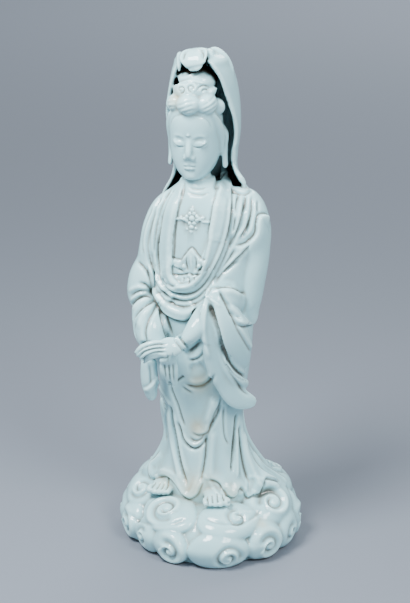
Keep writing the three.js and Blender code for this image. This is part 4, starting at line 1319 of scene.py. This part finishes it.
def jewels(skin):
    skin.draw(JEWEL_LINES, skin.in_photo)
    for row in PENDANT_BOSSES + BODICE_BOSSES:
        skin.boss_in_photo(*row)
    for petal in range(PETALS):
        turn = math.pi * (2 * petal + 1) / PETALS
        x = PENDANT_MIDDLE[0] + PENDANT_REACH[0] * math.cos(turn)
        y = PENDANT_MIDDLE[1] + PENDANT_REACH[1] * math.sin(turn)
        skin.boss_in_photo(x, y, PETAL, PETAL)


def crown_and_hair(skin):
    skin.draw(CROWN_LINES, skin.in_photo)
    for x, y, size, start, hand in CROWN_SCROLLS:
        skin.stroke(skin.in_photo(spiral(x, y, size, 1.3, start, hand)), curl, 1.6, 0.75)
    for turn, _, _ in HAIR_LUMPS[1:4]:
        for lift in ROLL_STRAND_LIFTS:
            strand = [(turn + aside, height + lift) for aside, height in ROLL_STRAND]
            skin.stroke(skin.round_head(strand), groove, 0.55, 0.9)
    for lift in BUN_STRAND_LIFTS:
        strand = [(turn, height + lift) for turn, height in BUN_STRAND]
        skin.stroke(skin.round_head(strand), groove, 0.7, 1.3)


def toes(skin):
    """Grooves between the toes, dropped straight down."""
    for side in FEET:
        _, toe, ahead, across, wide = foot_frame(side)
        for (place, _, lead), (place_on, _, _) in zip(TOES, TOES[1:]):
            root = toe + across * (place + place_on) / 2 * (wide - TOE_INSET)
            line = [root + ahead * far + UP * 20 for far in (-1, 3, 6.5 + lead)]
            dropped = skin.line(line, lambda p: skin.tree.ray_cast(Vector(p), Vector(-UP)))
            skin.stroke(dropped, groove, 1.6, 0.6, 2.0)


def features(skin):
    """The face. The dip under the nose is on the middle line, so it is drawn once."""
    for side in (-1, 1):
        mirrored = {name: (*row[:3], [(side * x, z) for x, z in row[3]]) for name, row in FACE_LINES.items()}
        if side == -1:
            del mirrored["philtrum"]
        skin.draw(mirrored, skin.on_face)
    spots, outs = skin.on_face([(x, BROW + URNA_LIFT) for x in (-0.5, 0, 0.5)])
    skin.boss(spots[1], outs[1], *URNA)


for lines in (NECK_LINES, HAND_LINES, SLIT_LINES):
    skin.draw(lines, skin.in_photo)
for part in (jewels, crown_and_hair, toes, features):
    part(skin)
skin.settle(0)
ease_line(skin, skin.in_photo(SLIT_LINES["parting"][3]), reach=4, rounds=4)


def hollowness(rounds, reach):
    """Where the glaze pools and the creases are painted darker as shade: how far each point lies under the
    clay around it, from -1 on a ridge to 1 in a crease. reach is the depth in mm that counts as 1."""
    soften(figure.data, rounds, EVENLY)
    level = places(figure.data)
    figure.data.vertices.foreach_set("co", skin.co.ravel())
    return np.clip(np.sum((level - skin.co) * skin.out, axis=1) / reach, -1, 1)


creased = hollowness(6, 0.35)
sunk = hollowness(40, 1.3)
figure.data.update()
before_thinning = tree_of(skin.co)

# Thinning, scale and finish
thinning = figure.modifiers.new("thinning", "DECIMATE")
thinning.ratio = min(1.0, MOST_TRIANGLES / (2 * len(figure.data.polygons)))
apply_modifiers(figure)
source = [before_thinning.find(v.co)[1] for v in figure.data.vertices]


def paint(name, values):
    """Keeps a value for each point, which the glaze reads."""
    layer = figure.data.attributes.new(name, "FLOAT", "POINT")
    layer.data.foreach_set("value", values.astype(np.float32))


EVEN_GLAZE = 0.4  # depth of the glaze on even clay, from 0 where it is thin to 1 where it pools
FACE_MIDDLE = (0, -20, -3)
FACE_REACH = 20.0
FACE_WIPED = 0.6  # the glaze pools this much less on the face

spots, outs = skin.co[source], skin.out[source]
on_face = bump(np.linalg.norm(spots - from_head(FACE_MIDDLE), axis=1), 0, FACE_REACH)
# The glaze really pools in the creases, but its dark end is painted shade in the creases and hollows, and the
# face gets less of both.
pooled_and_shaded = (0.3 * creased + 0.25 * sunk)[source]
paint("glaze_depth_and_shade", EVEN_GLAZE + (1 - FACE_WIPED * on_face) * pooled_and_shaded)

# Painted shade where little light gets in: the share of nine ways out that the clay blocks.
# One point in a few is tried, and the rest take the value of the nearest tried one that faces the same way.
SHUT_REACH = 40.0
SHUT_TILT = math.radians(42)
SHUT_WAYS = 8  # round about the outward one
SHUT_START = 0.6  # how far off the clay they start
SHUT_EVERY = 3
SHUT_ROUNDS = 9  # of averaging with the points around
ASLANT = (0.3, 0.5, 0.8)  # any direction that no outward one is likely to match
SHUT_FROM, SHUT_SPAN = 0.24, 0.28
# The painted shade is strongest in the hood, less in the sleeves and least on the clouds: height, span and
# share.
PAINTED_SHADE_LEAST = 0.2
PAINTED_SHADE_LEVELS = [(90, 60, 0.2), (255, 35, 0.6)]


def painted_occlusion_shade(spot, out):
    side = unit(np.cross(out, ASLANT))
    over = np.cross(out, side)
    turns = np.arange(SHUT_WAYS) * 2 * math.pi / SHUT_WAYS
    rim = np.outer(np.cos(turns), side) + np.outer(np.sin(turns), over)
    ways = np.vstack([out, out * math.cos(SHUT_TILT) + rim * math.sin(SHUT_TILT)])
    start = Vector(spot + out * SHUT_START)
    gone = (skin.tree.ray_cast(start, Vector(way), SHUT_REACH)[3] for way in ways)
    return sum(1 - g / SHUT_REACH for g in gone if g is not None) / len(ways)


tried = np.arange(0, len(spots), SHUT_EVERY)
shut = np.array([painted_occlusion_shade(spots[i], outs[i]) for i in tried])
keys = spots + 2 * outs
nearest_tried = tree_of(keys[tried])
shut = shut[[nearest_tried.find(key)[1] for key in keys]]
a, b, count = neighbours(figure.data)
for _ in range(SHUT_ROUNDS):
    shut = (shut + sum_around(shut, a, b)) / (1 + count)
painted_shade_share = PAINTED_SHADE_LEAST + sum(share * smooth((spots[:, 2] - z) / span) for z, span, share in PAINTED_SHADE_LEVELS)
# Painted shade, strongest where the clay shuts a point in and higher up the figure.
paint("painted_occlusion_shade", smooth((shut - SHUT_FROM) / SHUT_SPAN) * painted_shade_share)

# Straw-coloured tints that the kiln left: pixel, reach in mm and strength.
TINTS = [
    (200, 384, 9, 0.55), (197, 428, 8, 0.6), (193, 486, 12, 0.5), (176, 98, 7, 0.5), (208, 482, 8, 0.35),
    (232, 492, 9, 0.3), (165, 482, 9, 0.3), (262, 524, 5, 0.4),
]
tint = np.zeros(len(spots))
for x, y, reach, strength in TINTS:
    spot, *_ = hit(skin.tree, x, y)
    tint = np.maximum(tint, strength * bump(np.linalg.norm(spots - np.array(spot), axis=1), 0, reach))
paint("kiln_tint", tint)

# The foot was wiped clean of glaze: the ring, the recess inside it and the vent.
inside = np.hypot(spots[:, 0], spots[:, 1])
under = smooth((-outs[:, 2] - 0.72) / 0.2) * smooth((FOOT_RECESS + 2 - spots[:, 2]) / 1.5)
vent = (inside < VENT_RADIUS + 1) & (spots[:, 2] < VENT_DEPTH + 2)
paint("bare_clay", np.maximum(under, vent))
figure.data.vertices.foreach_set("co", (places(figure.data) * MM).ravel())
figure.data.polygons.foreach_set("use_smooth", [True] * len(figure.data.polygons))
figure.data.update()


# Materials


def linear(code):
    """A colour given in sRGB hex, as the renderer takes it."""

    def channel(text):
        c = int(text, 16) / 255
        return c / 12.92 if c <= 0.04045 else ((c + 0.055) / 1.055) ** 2.4

    return tuple(channel(code[i : i + 2]) for i in (1, 3, 5)) + (1.0,)


def socket(sockets, name):
    """The socket in use of that name or number: a mix node keeps one of each name for every kind of value."""
    if isinstance(name, int):
        return sockets[name]
    return next(s for s in sockets if s.name == name and s.enabled)


def node(tree, kind, settings=None, links=None):
    """Adds a node with its settings, by property or by input, and what runs into it."""
    made = tree.nodes.new(kind)
    for name, value in (settings or {}).items():
        if isinstance(name, str) and hasattr(made, name):
            setattr(made, name, value)
        else:
            socket(made.inputs, name).default_value = value
    for name, source in (links or {}).items():
        tree.links.new(source, socket(made.inputs, name))
    return made


def new_material(name):
    made = bpy.data.materials.new(name)
    made.use_nodes = True
    made.node_tree.nodes.clear()
    return made, made.node_tree


# Sizes in mm of the glaze's patterns.
CLOUDING = 26.3  # soft clouds of thicker and thinner glaze
SPECK_APART = 10.53  # width of the cells that an iron speck may lie in
SPECK_RADIUS = 0.05  # share of a cell: it is drawn 1 mm wide, about twice a real one, so that it shows
SPECKED_FROM = 0.93  # share of the cells that have no speck
RIPPLE = 7.14  # the slow ripple of a glazed surface, like the skin of an orange
RIPPLE_DEPTH = 0.6

# Porcelain, moulded and finished by hand, under a pale blue-green celadon glaze: glossy, with a tight
# highlight, thin and whiter on the edges, and pooled grey-green in the creases, whose darker end is painted
# shade. The deepest hollows are painted near black as shade. The kiln left straw-coloured tints and a few
# iron specks, and the foot is bare biscuit, which is matt.
glaze, tree = new_material("celadon_glazed_porcelain")
place = node(tree, "ShaderNodeTexCoord").outputs["Object"]
depth = node(tree, "ShaderNodeAttribute", {"attribute_name": "glaze_depth_and_shade"}).outputs["Fac"]
clouding = node(tree, "ShaderNodeTexNoise", {"Scale": 1 / (CLOUDING * MM), "Detail": 4.0}, {"Vector": place})
spreading = {"operation": "MULTIPLY_ADD", 1: 0.22, 2: -0.11}
spread = node(tree, "ShaderNodeMath", spreading, {0: clouding.outputs["Fac"]})
depth = node(tree, "ShaderNodeMath", {"operation": "ADD"}, {0: depth, 1: spread.outputs["Value"]})
tone = node(tree, "ShaderNodeValToRGB", links={"Fac": depth.outputs["Value"]})
ramp = tone.color_ramp
# From thin, whiter glaze on the edges to pooled glaze, whose dark grey end is painted shade in the creases.
ramp.elements[0].position, ramp.elements[0].color = 0.08, linear("#c8f6fa")
ramp.elements[1].position, ramp.elements[1].color = 0.95, linear("#5f645e")
for at, colour in ((0.4, "#aadde5"), (0.67, "#9ab3b3")):
    ramp.elements.new(at).color = linear(colour)
tinted = node(tree, "ShaderNodeAttribute", {"attribute_name": "kiln_tint"}).outputs["Fac"]
# Painted shade, read from the occlusion attribute: near black in the hollows that light hardly reaches.
painted_shade = node(tree, "ShaderNodeAttribute", {"attribute_name": "painted_occlusion_shade"}).outputs["Fac"]
cells = node(tree, "ShaderNodeTexVoronoi", {"Scale": 1 / (SPECK_APART * MM)}, {"Vector": place})
inside_speck = {"operation": "LESS_THAN", 1: SPECK_RADIUS}
near = node(tree, "ShaderNodeMath", inside_speck, {0: cells.outputs["Distance"]})
chance = node(tree, "ShaderNodeSeparateColor", links={"Color": cells.outputs["Color"]}).outputs["Red"]
picked = node(tree, "ShaderNodeMath", {"operation": "GREATER_THAN", 1: SPECKED_FROM}, {0: chance})
both = {0: near.outputs["Value"], 1: picked.outputs["Value"]}
speck = node(tree, "ShaderNodeMath", {"operation": "MULTIPLY"}, both).outputs["Value"]
bare = node(tree, "ShaderNodeAttribute", {"attribute_name": "bare_clay"}).outputs["Fac"]
# Over the glaze, in order: straw tint, painted shade in the hollows, iron and bare biscuit.
colour = tone.outputs["Color"]
for share, code in ((tinted, "#cfc39a"), (painted_shade, "#17120b"), (speck, "#5a5348"), (bare, "#cfc6b6")):
    over = {"data_type": "RGBA", "B": linear(code)}
    layer = node(tree, "ShaderNodeMix", over, {"Factor": share, "A": colour})
    colour = socket(layer.outputs, "Result")
rough = node(tree, "ShaderNodeMapRange", {"To Min": 0.12, "To Max": 0.75}, {"Value": bare}).outputs["Result"]
ripple = node(tree, "ShaderNodeTexNoise", {"Scale": 1 / (RIPPLE * MM), "Detail": 2.0}, {"Vector": place})
bumps = {"Strength": 0.12, "Distance": RIPPLE_DEPTH * MM}
rippled = node(tree, "ShaderNodeBump", bumps, {"Height": ripple.outputs["Fac"]}).outputs["Normal"]
shader = node(
    tree,
    "ShaderNodeBsdfPrincipled",
    {"IOR": 1.52},
    {"Base Color": colour, "Roughness": rough, "Normal": rippled},
)
node(tree, "ShaderNodeOutputMaterial", links={"Surface": shader.outputs["BSDF"]})
figure.data.materials.clear()
figure.data.materials.append(glaze)

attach(figure, "root")
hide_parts("guanyin_figure")

# The floor, light and camera

FLOOR_HALF = 14.0  # metres
floor_mesh = bmesh.new()
bmesh.ops.create_grid(floor_mesh, x_segments=2, y_segments=2, size=FLOOR_HALF)
ground = mesh_from(floor_mesh, "studio_floor")
# Matt backdrop paper, pale grey.
paper, tree = new_material("studio_paper")
shader = node(tree, "ShaderNodeBsdfPrincipled", {"Base Color": linear("#77808c"), "Roughness": 0.9})
node(tree, "ShaderNodeOutputMaterial", links={"Surface": shader.outputs["BSDF"]})
ground.data.materials.append(paper)


def soft_light(name, place, aim, size, power):
    """A round soft light: place, aim and width in metres, and power in watts."""
    light = bpy.data.lights.new(name, "AREA")
    light.shape = "DISK"
    light.size = size
    light.energy = power
    holder = bpy.data.objects.new(name, light)
    holder.location = place
    holder.rotation_euler = (Vector(aim) - Vector(place)).to_track_quat("-Z", "Y").to_euler()
    bpy.context.scene.collection.objects.link(holder)


# One falls from above and the camera's left, a weaker one fills from its right, and one lights the paper.
soft_light("overhead", (-0.22, -0.45, 0.92), (0, 0, 0.25), 0.36, 16)
soft_light("fill", (0.75, -0.55, 0.95), (0, 0, 0.3), 0.45, 11.5)
soft_light("backdrop", (0, 4, 3), (0, 4, 0), 3, 158)

world = bpy.data.worlds.new("studio")
bpy.context.scene.world = world
world.use_nodes = True
world.node_tree.nodes["Background"].inputs["Color"].default_value = linear("#d3d9df")
world.node_tree.nodes["Background"].inputs["Strength"].default_value = 0.8

SENSOR = 24.0  # mm, and any other would do as well
lens = bpy.data.cameras.new("camera")
lens.sensor_fit = "VERTICAL"
lens.sensor_height = SENSOR
lens.lens = SENSOR * SIGHT_PIXELS / PHOTO_SIZE[1]
camera = bpy.data.objects.new("camera", lens)
camera.location = EYE * MM
camera.rotation_euler = Vector(BACKWARD).to_track_quat("Z", "Y").to_euler()
bpy.context.scene.collection.objects.link(camera)
bpy.context.scene.camera = camera
